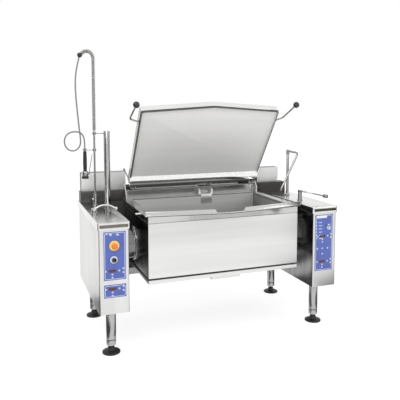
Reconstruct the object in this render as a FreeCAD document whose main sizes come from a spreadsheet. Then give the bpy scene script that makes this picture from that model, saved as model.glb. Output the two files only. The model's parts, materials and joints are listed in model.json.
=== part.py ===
"""Tilting bratt pan between two consoles, as a parametric document of separate pieces.

X runs along the machine, from the console with the spray to the one with the spout.
Y runs from front to back, Z up from the floor. The origin lies on the floor, in the
middle plane of the pan and half way between the pouring lip and the backs of the consoles.
All sizes are in millimetres. The lid is drawn shut, about its hinge, and then swung open.
"""
import FreeCAD, Part
import math
import os
from types import SimpleNamespace

import Sketcher

os.makedirs("parts", exist_ok=True)

DRIVING_SIZES = [
    # Consoles
    ("bay_half", 675.5, "half the width of the bay between the consoles"),
    ("console_width", 192.5, "width of a console casing"),
    ("console_depth", 874, "depth of a console casing"),
    ("console_floor", 311, "underside of the consoles"),
    ("work_height", 900, "top of the console covers"),
    ("cover_skirt", 46, "height of a cover's skirt"),
    ("cover_overhang", 7, "reach of a cover past its casing"),
    ("cover_sheet", 3, "sheet of the covers"),
    ("casing_sheet", 2, "sheet of the casings"),
    ("corner_round", 9, "rounding of the upright corners"),
    ("cover_round", 12, "rounding of a cover's upright corners"),
    ("cover_edge", 4, "rounding along a cover's top"),
    ("strip_height", 20, "height of the dark strip in a cover's front"),
    ("strip_margin", 12, "from a cover's edge to its strip"),
    ("base_plate", 8, "base plate of a console"),
    ("carrier_plate", 10, "plate that carries a bearing"),
    ("carrier_half", 105, "half the depth of the carrier plate"),
    ("carrier_rise", 130, "carrier plate above the tilting axis"),
    ("entry_depth", 640, "water and cable entries behind the console fronts"),
    ("inlet_radius", 10.5, "radius of a water inlet's thread"),
    ("inlet_length", 22, "length of a water inlet"),
    ("inlet_spacing", 60, "from one water inlet to the other"),
    ("cable_hole", 16, "radius of the hole for the supply cable"),
    # Legs and feet
    ("leg_radius", 32.5, "radius of a leg"),
    ("leg_front", 137, "front legs behind the console fronts"),
    ("leg_rear", 817, "rear legs behind the console fronts"),
    ("leg_end", 85, "lower end of the legs"),
    ("leg_wall", 3, "wall of a leg's tube"),
    ("leg_plug", 70, "solid lower end of a leg, which takes the stem"),
    ("leg_chamfer", 10, "chamfer at a leg's lower end"),
    ("stem_radius", 12, "radius of a foot's stem"),
    ("stem_reach", 55, "stem inside the leg"),
    ("stem_clearance", 0.3, "clearance round a stem in its leg"),
    ("lock_nut_radius", 21, "radius of the lock nut on a stem"),
    ("lock_nut_height", 9, "height of the lock nut"),
    ("foot_radius", 60, "radius of a foot"),
    ("foot_height", 40, "height of a foot"),
    ("foot_edge", 9, "thickness of a foot's edge"),
    # Tilting pan
    ("axis_depth", 415, "tilting axis behind the console fronts"),
    ("axis_height", 655, "tilting axis above the floor"),
    ("rim_half", 568.5, "half the width over the rim"),
    ("rim_height", 926, "top of the rim"),
    ("rim_sheet", 6, "thickness of the rim"),
    ("rim_back", 700, "back edge of the rim behind the console fronts"),
    ("lip_reach", 78, "reach of the pouring lip before the console fronts"),
    ("flare_drop", 56, "from the rim's top to where the front starts to flare out"),
    ("rim_overhang", 3, "rim's edge before the flare under it"),
    ("mouth_half", 505, "half the width of the pan's mouth"),
    ("mouth_back", 638, "back of the mouth behind the console fronts"),
    ("mouth_front", 60, "front of the well behind the console fronts"),
    ("mouth_border", 26, "rim's width along the front"),
    ("well_floor", 720, "cooking surface above the floor"),
    ("well_plate", 12, "thickness of the well's floor"),
    ("well_wall", 3, "wall of the well"),
    ("skirt_sheet", 3, "sheet of the skirts below the rim"),
    ("ridge_height", 24, "ridge above the rim"),
    ("ridge_thickness", 7, "thickness of the ridge"),
    ("ridge_setback", 2, "ridge behind the edge of the rim"),
    ("spout_half", 95, "half the gap in the ridge, over the pouring lip"),
    ("spout_slope", 16, "slope at the ends of the ridge"),
    ("ridge_round", 3, "rounding along the ridge's crest"),
    ("upstand_height", 59, "upstand at the back above the rim"),
    ("upstand_return", 8, "return along the top of the upstand"),
    ("peg_depth", 118, "peg on the rim's side behind the console fronts"),
    ("peg_radius", 6, "radius of that peg"),
    ("peg_length", 36, "reach of that peg beside the rim"),
    ("pan_half", 547.5, "half the width of the pan's casing"),
    ("pan_front", 6, "front of the pan's casing behind the console fronts"),
    ("pan_back", 690, "back of the pan's casing behind the console fronts"),
    ("casing_drop", 147, "lower edge of the pan's casing below the tilting axis"),
    ("tray_gap", 12, "groove between the casing and the bottom cover"),
    ("tray_height", 24, "height of the bottom cover below that groove"),
    ("tongue_inset", 10, "bottom cover's tongue behind the faces of the casing"),
    ("pull_half", 105, "half the width of the pull below the pan"),
    ("pull_depth", 130, "depth of the pull"),
    ("pull_height", 20, "height of the pull"),
    ("cradle_plate", 10, "side plate of the cradle"),
    ("cradle_half", 185, "half the depth of the cradle's side plates"),
    ("cradle_drop", 135, "cradle's side plates below the tilting axis"),
    ("cradle_beam", 40, "section of the cradle's beams"),
    ("cradle_ledge", 45, "width of the ledges that carry the well"),
    ("element_radius", 5, "radius of a heating element"),
    ("element_spacing", 90, "from one leg of a heating element to the other"),
    ("element_inset", 55, "element's ends inside the mouth"),
    ("insulation_height", 42, "thickness of the insulation"),
    # Trunnions, bearings and tilting drive
    ("trunnion_flange", 122, "radius of a trunnion's flange"),
    ("trunnion_plate", 12, "thickness of a trunnion's flange"),
    ("trunnion_radius", 106, "radius of a trunnion"),
    ("trunnion_wall", 8, "wall of a trunnion's tube"),
    ("trunnion_end", 16, "end plate that carries the journal"),
    ("trunnion_gap", 3, "gap between a trunnion and its console"),
    ("journal_radius", 30, "radius of a trunnion's journal"),
    ("journal_hole", 36, "hole round the journal in casing and carrier"),
    ("running_clearance", 0.05, "radial clearance of a running fit"),
    ("bearing_half", 60, "half the side of a bearing's flange"),
    ("bearing_plate", 14, "thickness of a bearing's flange"),
    ("bearing_hub", 47, "radius of a bearing's hub"),
    ("bearing_length", 36, "length of a bearing"),
    ("drive_radius", 25, "radius of the journal in the gearbox"),
    ("gearbox_gap", 8, "from the bearing to the gearbox"),
    ("gearbox_length", 90, "gearbox along its shaft"),
    ("gearbox_half", 72, "half the side of the gearbox"),
    ("torque_arm", 14, "thickness of the torque arm"),
    ("torque_gap", 2, "gap between the torque arm and the bearing"),
    ("motor_radius", 52, "radius of the motor"),
    ("motor_length", 190, "length of the motor"),
    ("motor_boss", 40, "radius of the motor's boss"),
    ("motor_boss_length", 12, "length of the motor's boss"),
    ("control_width", 104, "width of the electrical box"),
    ("control_depth", 270, "depth of the electrical box"),
    ("control_height", 280, "height of the electrical box"),
    ("control_inset", 60, "electrical box behind the console front"),
    ("control_rise", 110, "electrical box above the console's underside"),
    # Hinge of the lid, on the back of the pan
    ("hinge_depth", 715, "lid hinge behind the console fronts"),
    ("hinge_rise", 84, "lid hinge above the rim"),
    ("hinge_radius", 11, "radius of the hinge shaft"),
    ("hub_radius", 22, "radius of the hubs on the hinge shaft"),
    ("ear_back", 24, "ears behind the hinge"),
    ("ear_front", 650, "front of the ears behind the console fronts"),
    ("ear_slope", 34, "height of the upright front edge of an ear"),
    ("gusset_place", 540, "from the middle to the gussets"),
    ("gusset_plate", 8, "thickness of a gusset"),
    ("bracket_place", 95, "from the middle to the hinge bracket"),
    ("bracket_half", 60, "half the width of the hinge bracket"),
    ("bracket_ear", 15, "thickness of an ear of the hinge bracket"),
    ("bracket_drop", 66, "tongue of the bracket inside the well"),
    ("bracket_tongue", 46, "half the width of that tongue"),
    ("knuckle_gap", 5, "gap beside the lid's knuckle"),
    ("sleeve_radius", 20, "radius of the spring sleeves"),
    ("left_sleeve_end", 506, "inner end of the left spring sleeve"),
    ("left_sleeve_length", 30, "length of the left spring sleeve"),
    ("right_sleeve_end", 406, "inner end of the right spring sleeve"),
    ("right_sleeve_length", 83, "length of the right spring sleeve"),
    ("catch_place", 497, "from the middle to the lid catch"),
    ("catch_width", 14, "width of the catch's hub"),
    ("catch_height", 136, "height of the catch above the hinge"),
    ("catch_lean", 48, "how far the catch leans out"),
    ("catch_rod", 5, "radius of the catch's rod"),
    ("catch_knob", 10, "radius of the catch's knob"),
    # Lid, drawn shut about its hinge
    ("lid_open_angle", 54.4, "opening angle of the lid in degrees"),
    ("lid_half", 527, "half the width of the lid"),
    ("lid_back", 70, "back wall of the lid before the hinge"),
    ("lid_front", 744, "front corners of the lid before the hinge"),
    ("lid_peak", 62, "peak of the lid's front before its corners"),
    ("lid_top", 19, "top of the lid above the hinge"),
    ("lid_lip", 56, "front edge of the lid below the hinge"),
    ("lid_skirt", 82, "side skirts of the lid below the hinge"),
    ("lid_sheet", 3, "sheet of the lid"),
    ("lid_round", 6, "rounding along the lid's top"),
    ("skirt_front", 702, "front of the side skirts before the hinge"),
    ("skirt_back", 120, "back of the side skirts before the hinge"),
    ("liner_level", 36, "liner below the hinge"),
    ("liner_back", 139, "where the liner turns down before the hinge"),
    ("liner_border", 22, "border between the lid's wall and its seal"),
    ("seal_width", 5, "width of the seal round the liner"),
    ("back_level", 62, "back edge of the lid below the hinge"),
    ("back_shelf", 14, "shelf at the foot of the back wall"),
    ("left_arm_place", 462, "from the middle to the lid's left arm"),
    ("right_arm_place", 493, "from the middle to the lid's right arm"),
    ("arm_plate", 8, "thickness of a lid arm"),
    ("handle_radius", 6, "radius of the lid's handle rods"),
    ("handle_root", 642, "handle rods before the hinge"),
    ("handle_level", 22, "handle rods below the hinge"),
    ("handle_out", 65, "handle rods beside the lid"),
    ("handle_forward", 190, "reach of a handle rod forward of its bend"),
    ("handle_drop", 94, "drop of a handle rod along that reach"),
    ("handle_bend", 26, "radius of a handle rod's bend"),
    ("ball_radius", 20.5, "radius of the balls on the handles"),
    # Beam and boxes behind the pan
    ("beam_place", 760, "front of the beam behind the console fronts"),
    ("beam_depth", 100, "depth of the beam"),
    ("beam_height", 80, "height of the beam"),
    ("beam_wall", 4, "wall of the beam"),
    ("back_sheet", 3, "sheet that closes the back between the consoles"),
    ("back_lap", 40, "lap of that sheet inside the beam"),
    ("back_gap", 1, "gap between that sheet and the covers"),
    ("tie_side", 50, "section of the tube that ties the consoles"),
    ("box_place", 800, "front of the rear boxes behind the console fronts"),
    ("box_depth", 80, "depth of the rear boxes"),
    ("box_sheet", 3, "sheet of the rear boxes"),
    ("left_box_inset", 12, "left box inside the end of the beam"),
    ("left_box_length", 340, "length of the left box"),
    ("left_box_height", 139, "height of the left box"),
    ("right_box_inset", 49, "right box inside the end of the beam"),
    ("right_box_length", 201, "length of the right box"),
    ("right_box_height", 123, "height of the right box"),
    ("right_box_chamfer", 22, "chamfer at the right box's lower corner"),
    # Control panels and their pieces
    ("panel_plate", 1.2, "thickness of a control panel"),
    ("panel_inset", 21.5, "left panels inside the console's inner side"),
    ("panel_width", 141, "width of the left panels"),
    ("panel_drop", 59, "tops of the panels below the top of the covers"),
    ("upper_panel_height", 310, "height of the upper left panel"),
    ("panel_gap", 29, "from the upper to the lower left panel"),
    ("lower_panel_height", 84, "height of the lower left panel"),
    ("right_panel_inset", 17.5, "right panel inside the console's inner side"),
    ("right_panel_width", 147, "width of the right panel"),
    ("right_panel_height", 412, "height of the right panel"),
    ("key_radius", 6.5, "radius of a key"),
    ("key_rise", 0.8, "height of a key above its panel"),
    ("display_half", 24, "half the width of a display"),
    ("display_height", 17, "height of a display"),
    ("left_display_shift", 17, "left displays outward of their panels' middle"),
    ("right_display_shift", 12, "right displays inward of their panel's middle"),
    ("upper_display_rise", 59, "display above the upper left panel's lower edge"),
    ("lower_display_rise", 56, "display above the lower left panel's lower edge"),
    ("right_display_rise", 254, "upper display above the right panel's lower edge"),
    ("right_low_display_rise", 67, "lower display above the right panel's lower edge"),
    ("key_left", 42, "key to the left of a display's middle"),
    ("key_right", 44, "key to the right of a display's middle"),
    ("key_column", 70, "column of keys to the right of a display's middle"),
    ("key_up", 12, "upper key of that column above the display's middle"),
    ("key_down", 13, "lower key of that column below the display's middle"),
    ("key_under", 22, "first key under a display's middle"),
    ("key_far_under", 42, "second key under a display's middle"),
    ("key_field", 90, "row of keys below the upper right display"),
    ("key_field_low", 130, "single key below that row's display"),
    ("lamp_drop", 20, "lamps below the top of the upper left panel"),
    ("lamp_left", 24, "left lamp from the middle of its panel"),
    ("lamp_right", 22, "right lamp from the middle of its panel"),
    ("stop_inset", 95.5, "emergency stop from the console's inner side"),
    ("stop_drop", 89, "emergency stop below the top of its panel"),
    ("stop_ring_radius", 32, "radius of the ring round the stop"),
    ("stop_ring_plate", 6, "thickness of that ring"),
    ("stop_stem", 10, "radius of the stop's stem"),
    ("stop_head", 19, "radius of the stop's head"),
    ("stop_head_height", 16, "height of the stop's head"),
    ("stop_gap", 6, "gap between the head and the ring"),
    ("stop_reach", 24, "stem of the stop behind its panel"),
    ("selector_inset", 98.5, "tilting switch from the console's inner side"),
    ("selector_drop", 180, "tilting switch below the top of its panel"),
    ("knob_radius", 15, "radius of a knob"),
    ("knob_height", 14, "height of a knob"),
    ("knob_stem", 4, "radius of a knob's stem"),
    ("knob_reach", 18, "stem of a knob behind its panel"),
    ("knob_gap", 0.6, "gap between a knob and its panel"),
    ("dial_inset", 124.5, "dial from the console's inner side"),
    ("dial_drop", 97, "dial below the top of the right panel"),
    ("pointer_half", 2.5, "half the width of a knob's pointer"),
    # Spray on the left console
    ("spray_depth", 655, "spray column behind the console fronts"),
    ("riser_inset", 101.5, "spray riser from the console's inner side"),
    ("riser_radius", 7.5, "radius of the spray riser"),
    ("riser_height", 550, "spray riser above the cover"),
    ("valve_radius", 13, "radius of the spray's valve"),
    ("valve_height", 84, "height of the spray's valve"),
    ("valve_boss", 9, "radius of the boss at the valve's side"),
    ("valve_reach", 24, "reach of that boss"),
    ("valve_knob", 15, "radius of the valve's knob"),
    ("valve_knob_width", 14, "thickness of the valve's knob"),
    ("valve_stem", 4, "radius of the knob's stem"),
    ("valve_stem_reach", 16, "stem inside the boss"),
    ("pole_inset", 18.5, "pole from the console's inner side"),
    ("pole_depth", 610, "pole behind the console fronts"),
    ("pole_radius", 23.5, "radius of the pole"),
    ("pole_wall", 2, "wall of the pole"),
    ("pole_height", 545, "height of the pole"),
    ("clamp_drop", 23, "clamp to the pole below the top of the riser"),
    ("guard_radius", 13, "radius of the spring guard"),
    ("arch_radius", 46, "radius of the guard's arch"),
    ("guard_height", 543, "straight part of the guard above the riser"),
    ("ferrule_radius", 18, "radius of the ball at the guard's end"),
    ("ferrule_reach", 95, "that ball outward of the riser"),
    ("ferrule_drop", 3, "that ball below the start of the arch"),
    ("hose_radius", 5.5, "radius of the hose"),
    ("gun_reach", 70, "spray gun outward of the riser"),
    ("gun_rise", 418, "top of the spray gun above the covers"),
    ("gun_collar", 13, "radius of the gun's collar"),
    ("gun_neck", 8, "radius of the gun's neck"),
    ("collar_height", 10, "height of the collar and of the neck"),
    ("grip_radius", 15.5, "radius of the grip"),
    ("grip_length", 145, "length of the grip"),
    ("head_radius", 23, "radius of the spray head"),
    ("head_length", 40, "length of the spray head"),
    ("face_radius", 25, "radius of the black spray face"),
    ("face_height", 15, "height of the black spray face"),
    ("fork_plate", 4, "thickness of the fork that holds the gun"),
    ("fork_half", 18, "half the width of the fork"),
    ("fork_clearance", 0.4, "clearance round the neck in the fork"),
    ("fork_boss", 7, "boss of the fork above and below its plate"),
    ("clamp_radius", 14, "radius of the clamps on the riser"),
    ("clamp_height", 18, "height of the clamp to the pole"),
    ("trigger_radius", 3, "radius of the trigger's rod"),
    ("trigger_length", 142, "length of the trigger"),
    ("trigger_offset", 29, "trigger's pivot beside the gun"),
    ("trigger_lean", 24, "how far the trigger leans out"),
    # Levers and swivelling spout
    ("lever_depth", 300, "lever taps behind the console fronts"),
    ("left_tap_inset", 170.5, "left lever tap from the console's inner side"),
    ("right_tap_inset", 66.5, "right lever tap from the console's inner side"),
    ("tap_radius", 15, "radius of a lever tap's body"),
    ("tap_foot", 21, "radius of a lever tap's foot"),
    ("left_tap_height", 28, "height of the left lever tap"),
    ("right_tap_height", 66, "height of the right lever tap"),
    ("lever_pin", 5, "radius of the pin that a lever turns on"),
    ("lever_hub", 17, "radius of a lever's hub"),
    ("lever_thickness", 12, "thickness of a lever's hub"),
    ("lever_rod", 5.5, "radius of a lever's rod"),
    ("left_lever_reach", 152, "reach of the left lever"),
    ("left_lever_rise", 24, "rise of the left lever's arch"),
    ("right_blade", 108, "length of the right lever's blade"),
    ("right_lever_reach", 212, "reach of the right lever"),
    ("right_lever_slope_angle", 5.5, "slope of the right lever in degrees"),
    ("right_lever_turn_angle", 58.5, "turn of the right lever in degrees"),
    ("lever_grip", 14, "radius of the right lever's grip"),
    ("lever_grip_length", 32, "length of that grip"),
    ("column_inset", 94.5, "spout column from the console's inner side"),
    ("column_depth", 545, "spout column behind the console fronts"),
    ("column_radius", 11, "radius of the spout column"),
    ("column_height", 336, "height of the spout column"),
    ("column_foot", 20, "radius of the column's foot"),
    ("column_pin", 7, "radius of the spigot that the spout turns on"),
    ("spout_cap", 14, "radius of the spout's socket"),
    ("spout_socket", 36, "length of the spout's socket"),
    ("spout_radius", 8, "radius of the spout"),
    ("spout_bend", 16, "radius of the spout's bends"),
    ("spout_turn_x", 27, "spout's upper bend outward of its column"),
    ("spout_turn_y", 115, "spout's upper bend before its column"),
    ("spout_end_x", 126, "spout's end inward of its column"),
    ("spout_end_rise", 58, "spout's end above the covers"),
]

doc = FreeCAD.newDocument("BrattPan")
sheet = doc.addObject("Spreadsheet::Sheet", "Sizes")


class Size:
    """A number together with the sheet expression that gives it."""

    def __init__(self, number, text):
        self.number = float(number)
        self.text = text

    def __add__(self, other):
        other = as_size(other)
        return Size(self.number + other.number, "(%s + %s)" % (self.text, other.text))

    def __sub__(self, other):
        other = as_size(other)
        return Size(self.number - other.number, "(%s - %s)" % (self.text, other.text))

    def __mul__(self, other):
        other = as_size(other)
        return Size(self.number * other.number, "(%s * %s)" % (self.text, other.text))

    def __truediv__(self, other):
        other = as_size(other)
        return Size(self.number / other.number, "(%s / %s)" % (self.text, other.text))

    def __neg__(self):
        return Size(-self.number, "(0 - %s)" % self.text)

    def __radd__(self, other):
        return as_size(other) + self

    def __rsub__(self, other):
        return as_size(other) - self

    def __rmul__(self, other):
        return as_size(other) * self


def as_size(value):
    """A plain number as a Size, so that both kinds can be added."""
    return value if isinstance(value, Size) else Size(value, "(%r)" % float(value))


def fill_sheet():
    """Write every driving size to the sheet and return them by name."""
    sizes = {}
    for row, (alias, number, meaning) in enumerate(DRIVING_SIZES, start=1):
        sheet.set("A%d" % row, meaning)
        sheet.set("B%d" % row, str(number))
        sheet.setAlias("B%d" % row, alias)
        sizes[alias] = Size(number, "Sizes." + alias)
    doc.recompute()
    return SimpleNamespace(**sizes)


s = fill_sheet()
front = (s.lip_reach - s.console_depth - s.cover_overhang) / 2
parts = {}


def behind(distance):
    """The Y of a place that lies this far behind the console fronts."""
    return front + distance


def span(side, near, far):
    """The X range between two distances from the middle, on the left or right side."""
    return (near, far) if side > 0 else (-far, -near)


def vector(*place):
    return FreeCAD.Vector(*[as_size(value).number for value in place])


def bind(thing, name, value):
    thing.setExpression(name, as_size(value).text)


def node(name, thing):
    """Name a finished sub-part, which also names its file."""
    thing.Label = name
    parts[name] = thing
    return thing


def place(thing, x=0, y=0, z=0, axis=(0, 0, 1), angle=0):
    """Turn a piece about its own origin and then put that origin at a place."""
    thing.Placement = FreeCAD.Placement(vector(x, y, z), FreeCAD.Rotation(vector(*axis), as_size(angle).number))
    for letter, value in zip("xyz", (x, y, z)):
        bind(thing, "Placement.Base." + letter, value)
    if isinstance(angle, Size):
        bind(thing, "Placement.Rotation.Angle", angle)
    return thing


def box(low, high):
    """A block between its low and high corners."""
    block = doc.addObject("Part::Box", "Block")
    for name, start, end in zip(("Length", "Width", "Height"), low, high):
        bind(block, name, as_size(end) - start)
    return place(block, *low)


TURNS = {"X": ((0, 1, 0), 90), "Y": ((1, 0, 0), -90), "Z": ((0, 0, 1), 0)}


def rod(start, along, radius, length):
    """A round bar from a start point, along X, Y or Z."""
    bar = doc.addObject("Part::Cylinder", "Bar")
    bind(bar, "Radius", radius)
    bind(bar, "Height", length)
    axis, angle = TURNS[along]
    return place(bar, *start, axis=axis, angle=angle)


def cone(start, low_radius, high_radius, height):
    taper = doc.addObject("Part::Cone", "Taper")
    bind(taper, "Radius1", low_radius)
    bind(taper, "Radius2", high_radius)
    bind(taper, "Height", height)
    return place(taper, *start)


def cut(base, *tools):
    """Take tools away from a base, one after the other."""
    for tool in tools:
        result = doc.addObject("Part::Cut", "Cut")
        result.Base = base
        result.Tool = tool
        base = result
    return base


def fuse(*things):
    result = doc.addObject("Part::MultiFuse", "Fusion")
    result.Shapes = list(things)
    return result


def common(*things):
    result = doc.addObject("Part::MultiCommon", "Common")
    result.Shapes = list(things)
    return result


def group(*things):
    """Separate solids of one kind that share a node."""
    result = doc.addObject("Part::Compound", "Group")
    result.Links = list(things)
    return result


def hold(sketch, constraint, value):
    """Add a constraint to a sketch and bind it to its size."""
    index = sketch.addConstraint(constraint)
    sketch.setExpression("Constraints[%d]" % index, as_size(value).text)


def draw(sketch, corners, circles=()):
    """Draw a closed outline of straight runs, and circles (x, y, radius), all held by sizes."""
    first = sketch.GeometryCount
    count = len(corners)
    for index in range(count):
        start, end = corners[index], corners[(index + 1) % count]
        sketch.addGeometry(Part.LineSegment(vector(*start, 0), vector(*end, 0)), False)
    for index in range(count):
        after = first + (index + 1) % count
        sketch.addConstraint(Sketcher.Constraint("Coincident", first + index, 2, after, 1))
    for index, (across, up) in enumerate(corners):
        across, up = as_size(across), as_size(up)
        line = first + index
        hold(sketch, Sketcher.Constraint("DistanceX", -1, 1, line, 1, across.number), across)
        hold(sketch, Sketcher.Constraint("DistanceY", -1, 1, line, 1, up.number), up)
    for across, up, radius in circles:
        across, up, radius = as_size(across), as_size(up), as_size(radius)
        round_line = Part.Circle(vector(across, up, 0), FreeCAD.Vector(0, 0, 1), radius.number)
        circle = sketch.addGeometry(round_line, False)
        hold(sketch, Sketcher.Constraint("DistanceX", -1, 1, circle, 3, across.number), across)
        hold(sketch, Sketcher.Constraint("DistanceY", -1, 1, circle, 3, up.number), up)
        hold(sketch, Sketcher.Constraint("Radius", circle, radius.number), radius)


def sketch_on(body, plane, level):
    """A sketch on one of the body's own planes, moved to a level along its axis."""
    sketch = body.newObject("Sketcher::SketchObject", "Outline")
    origin_plane = next(item for item in body.Origin.OriginFeatures if item.Role == plane + "_Plane")
    sketch.AttachmentSupport = [(origin_plane, "")]
    sketch.MapMode = "FlatFace"
    offset = -level if plane == "XZ" else as_size(level)
    sketch.AttachmentOffset = FreeCAD.Placement(FreeCAD.Vector(0, 0, offset.number), FreeCAD.Rotation())
    bind(sketch, "AttachmentOffset.Base.z", offset)
    return sketch


def pad(body, plane, corners, start, end, circles=()):
    """Add material between two levels along the axis that is square to the plane."""
    start, end = as_size(start), as_size(end)
    sketch = sketch_on(body, plane, end if plane == "XZ" else start)
    draw(sketch, corners, circles)
    feature = body.newObject("PartDesign::Pad", "Pad")
    feature.Profile = sketch
    bind(feature, "Length", end - start)
    return body


def pocket(body, plane, corners, start, end, circles=()):
    """Take material away between two levels, and make sure that some went."""
    start, end = as_size(start), as_size(end)
    doc.recompute()
    before = body.Shape.Volume
    sketch = sketch_on(body, plane, start if plane == "XZ" else end)
    draw(sketch, corners, circles)
    feature = body.newObject("PartDesign::Pocket", "Pocket")
    feature.Profile = sketch
    bind(feature, "Length", end - start)
    doc.recompute()
    if body.Shape.Volume > before - 1:
        raise RuntimeError("a pocket cut nothing")
    return body


def prism(plane, corners, start, end, circles=()):
    """A body with one outline drawn out between two levels."""
    body = doc.addObject("PartDesign::Body", "Body")
    return pad(body, plane, corners, start, end, circles)


def rectangle(low, high):
    """Corners of an upright rectangle from its low and high corner."""
    return [(low[0], low[1]), (high[0], low[1]), (high[0], high[1]), (low[0], high[1])]


def round_edges(body, radius, wanted):
    """Round the straight edges that a test picks out by their two ends."""
    doc.recompute()
    before = body.Tip
    names = []
    for index, edge in enumerate(body.Shape.Edges, start=1):
        if edge.Curve.TypeId == "Part::GeomLine" and wanted(edge.firstVertex().Point, edge.lastVertex().Point):
            names.append("Edge%d" % index)
    feature = body.newObject("PartDesign::Fillet", "Rounding")
    feature.Base = (before, names)
    bind(feature, "Radius", radius)
    return body


def is_upright(one, other):
    return abs(one.x - other.x) < 0.01 and abs(one.y - other.y) < 0.01


def is_across(one, other):
    return abs(one.y - other.y) < 0.01 and abs(one.z - other.z) < 0.01


def rounded_block(low, high, bottom, top, radius):
    """A block with its four upright edges rounded."""
    return round_edges(prism("XY", rectangle(low, high), bottom, top), radius, is_upright)


def turned(profile, along="Z"):
    """A body turned about its own axis, from the corners of half its section.

    About Z a corner is (radius, height), about X it is (distance, radius).
    """
    body = doc.addObject("PartDesign::Body", "Turned")
    sketch = sketch_on(body, "XZ", Size(0, "0"))
    draw(sketch, profile)
    feature = body.newObject("PartDesign::Revolution", "Revolution")
    feature.Profile = sketch
    feature.ReferenceAxis = (sketch, ["V_Axis" if along == "Z" else "H_Axis"])
    feature.Angle = 360
    return body


def bent_wire(points, radii):
    """Straight runs joined by tangent arcs, one radius for each point between the ends."""
    edges = []
    begin = points[0]
    for before, corner, after, radius in zip(points, points[1:], points[2:], radii):
        into = (corner - before).normalize()
        out = (after - corner).normalize()
        half_turn = into.getAngle(out) / 2
        reach = radius * math.tan(half_turn)
        arc_start = corner - into * reach
        arc_end = corner + out * reach
        towards_centre = (out - into).normalize()
        middle = corner + towards_centre * (radius / math.cos(half_turn) - radius)
        if begin.distanceToPoint(arc_start) > 0.01:
            edges.append(Part.LineSegment(begin, arc_start).toShape())
        edges.append(Part.Arc(arc_start, middle, arc_end).toShape())
        begin = arc_end
    edges.append(Part.LineSegment(begin, points[-1]).toShape())
    return Part.Wire(edges)


def bent_rod(points, radii, radius):
    """A round rod along a bent wire, with its volume compared with section times length."""
    wire = bent_wire(points, radii)
    first = points[1] - points[0]
    section = Part.Wire(Part.Circle(points[0], first, radius).toShape())
    shape = wire.makePipeShell([section], True, True)
    expected = math.pi * radius ** 2 * wire.Length
    if abs(shape.Volume - expected) > 0.01 * expected:
        raise RuntimeError("a bent rod has %.0f in place of %.0f cubic mm" % (shape.Volume, expected))
    return shape


def shaped(name, shape, x=0, y=0, z=0, axis=(0, 0, 1), angle=0):
    """A sub-part whose shape comes from Part's own functions."""
    feature = doc.addObject("Part::Feature", "Formed")
    feature.Shape = shape
    place(feature, x, y, z, axis, angle)
    return node(name, feature)


# Levels and places that several pieces share

cover_underside = s.work_height - s.cover_skirt
flare_height = s.rim_height - s.flare_drop
upstand_top = s.rim_height + s.upstand_height
casing_underside = s.axis_height - s.casing_drop
tray_top = casing_underside - s.tray_gap
tray_underside = tray_top - s.tray_height
panel_top = s.work_height - s.panel_drop
upper_panel_low = panel_top - s.upper_panel_height
lower_panel_top = upper_panel_low - s.panel_gap
lower_panel_low = lower_panel_top - s.lower_panel_height
right_panel_low = panel_top - s.right_panel_height
stop_level = panel_top - s.stop_drop
selector_level = panel_top - s.selector_drop
dial_level = panel_top - s.dial_drop
riser_top = s.work_height + s.riser_height
arch_level = riser_top + s.guard_height
ferrule_level = arch_level - s.ferrule_drop
gun_top = s.work_height + s.gun_rise
column_top = s.work_height + s.column_height
left_panels = (-s.bay_half - s.panel_inset - s.panel_width, -s.bay_half - s.panel_inset)
right_panel = (s.bay_half + s.right_panel_inset, s.bay_half + s.right_panel_inset + s.right_panel_width)
stop_x = -s.bay_half - s.stop_inset
selector_x = -s.bay_half - s.selector_inset
dial_x = s.bay_half + s.dial_inset
riser_x = -s.bay_half - s.riser_inset
pole_x = -s.bay_half - s.pole_inset
ferrule_x = riser_x - s.ferrule_reach
gun_x = riser_x - s.gun_reach
left_tap_x = -s.bay_half - s.left_tap_inset
right_tap_x = s.bay_half + s.right_tap_inset
column_x = s.bay_half + s.column_inset

# Consoles

casing_far = s.bay_half + s.console_width
casing_back = behind(s.console_depth)


def console_casing(name, side, front_holes):
    """A folded casing up to the cover, with a hole for the pan's journal and its panel's holes."""
    low, high = span(side, s.bay_half, casing_far)
    wall, top = s.casing_sheet, s.work_height - s.cover_sheet
    outside = rounded_block((low, front), (high, casing_back), s.console_floor, top, s.corner_round)
    inside = rounded_block((low + wall, front + wall), (high - wall, casing_back - wall),
                           s.console_floor - 1, top + 1, s.corner_round - wall)
    near = span(side, s.bay_half - 1, s.bay_half + wall + 1)[0]
    holes = [rod((near, behind(s.axis_depth), s.axis_height), "X", s.journal_hole, wall + 2)]
    holes += [rod((x, front - 1, z), "Y", radius, wall + 2) for x, z, radius in front_holes]
    node(name, cut(outside, inside, *holes))


def console_cover(name, side):
    """A tray upside down on its casing, with a slot for the dark strip in its front skirt."""
    low, high = span(side, s.bay_half - s.cover_overhang, casing_far + s.cover_overhang)
    near, back = front - s.cover_overhang, casing_back + s.cover_overhang
    wall = s.cover_sheet
    outside = rounded_block((low, near), (high, back), cover_underside, s.work_height, s.cover_round)
    top = s.work_height.number
    round_edges(outside, s.cover_edge, lambda one, other: abs(one.z - top) < 0.01 and abs(other.z - top) < 0.01)
    inside = rounded_block((low + wall, near + wall), (high - wall, back - wall),
                           cover_underside - 1, s.work_height - wall, s.cover_round - wall)
    slot = prism("XZ", strip_outline(side), near - 1, near + wall + 1)
    node(name, cut(outside, inside, slot, *cover_holes(side)))


def cover_holes(side):
    """Holes in a cover for what comes up through it."""
    bottom, height = s.work_height - s.cover_sheet - 1, s.cover_sheet + 2
    if side > 0:
        return []
    return [rod((riser_x, behind(s.spray_depth), bottom), "Z", s.riser_radius, height)]


def strip_outline(side):
    inset = s.strip_margin - s.cover_overhang
    low, high = span(side, s.bay_half + inset, casing_far - inset)
    middle = (cover_underside + s.work_height) / 2
    return rectangle((low, middle - s.strip_height / 2), (high, middle + s.strip_height / 2))


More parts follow.
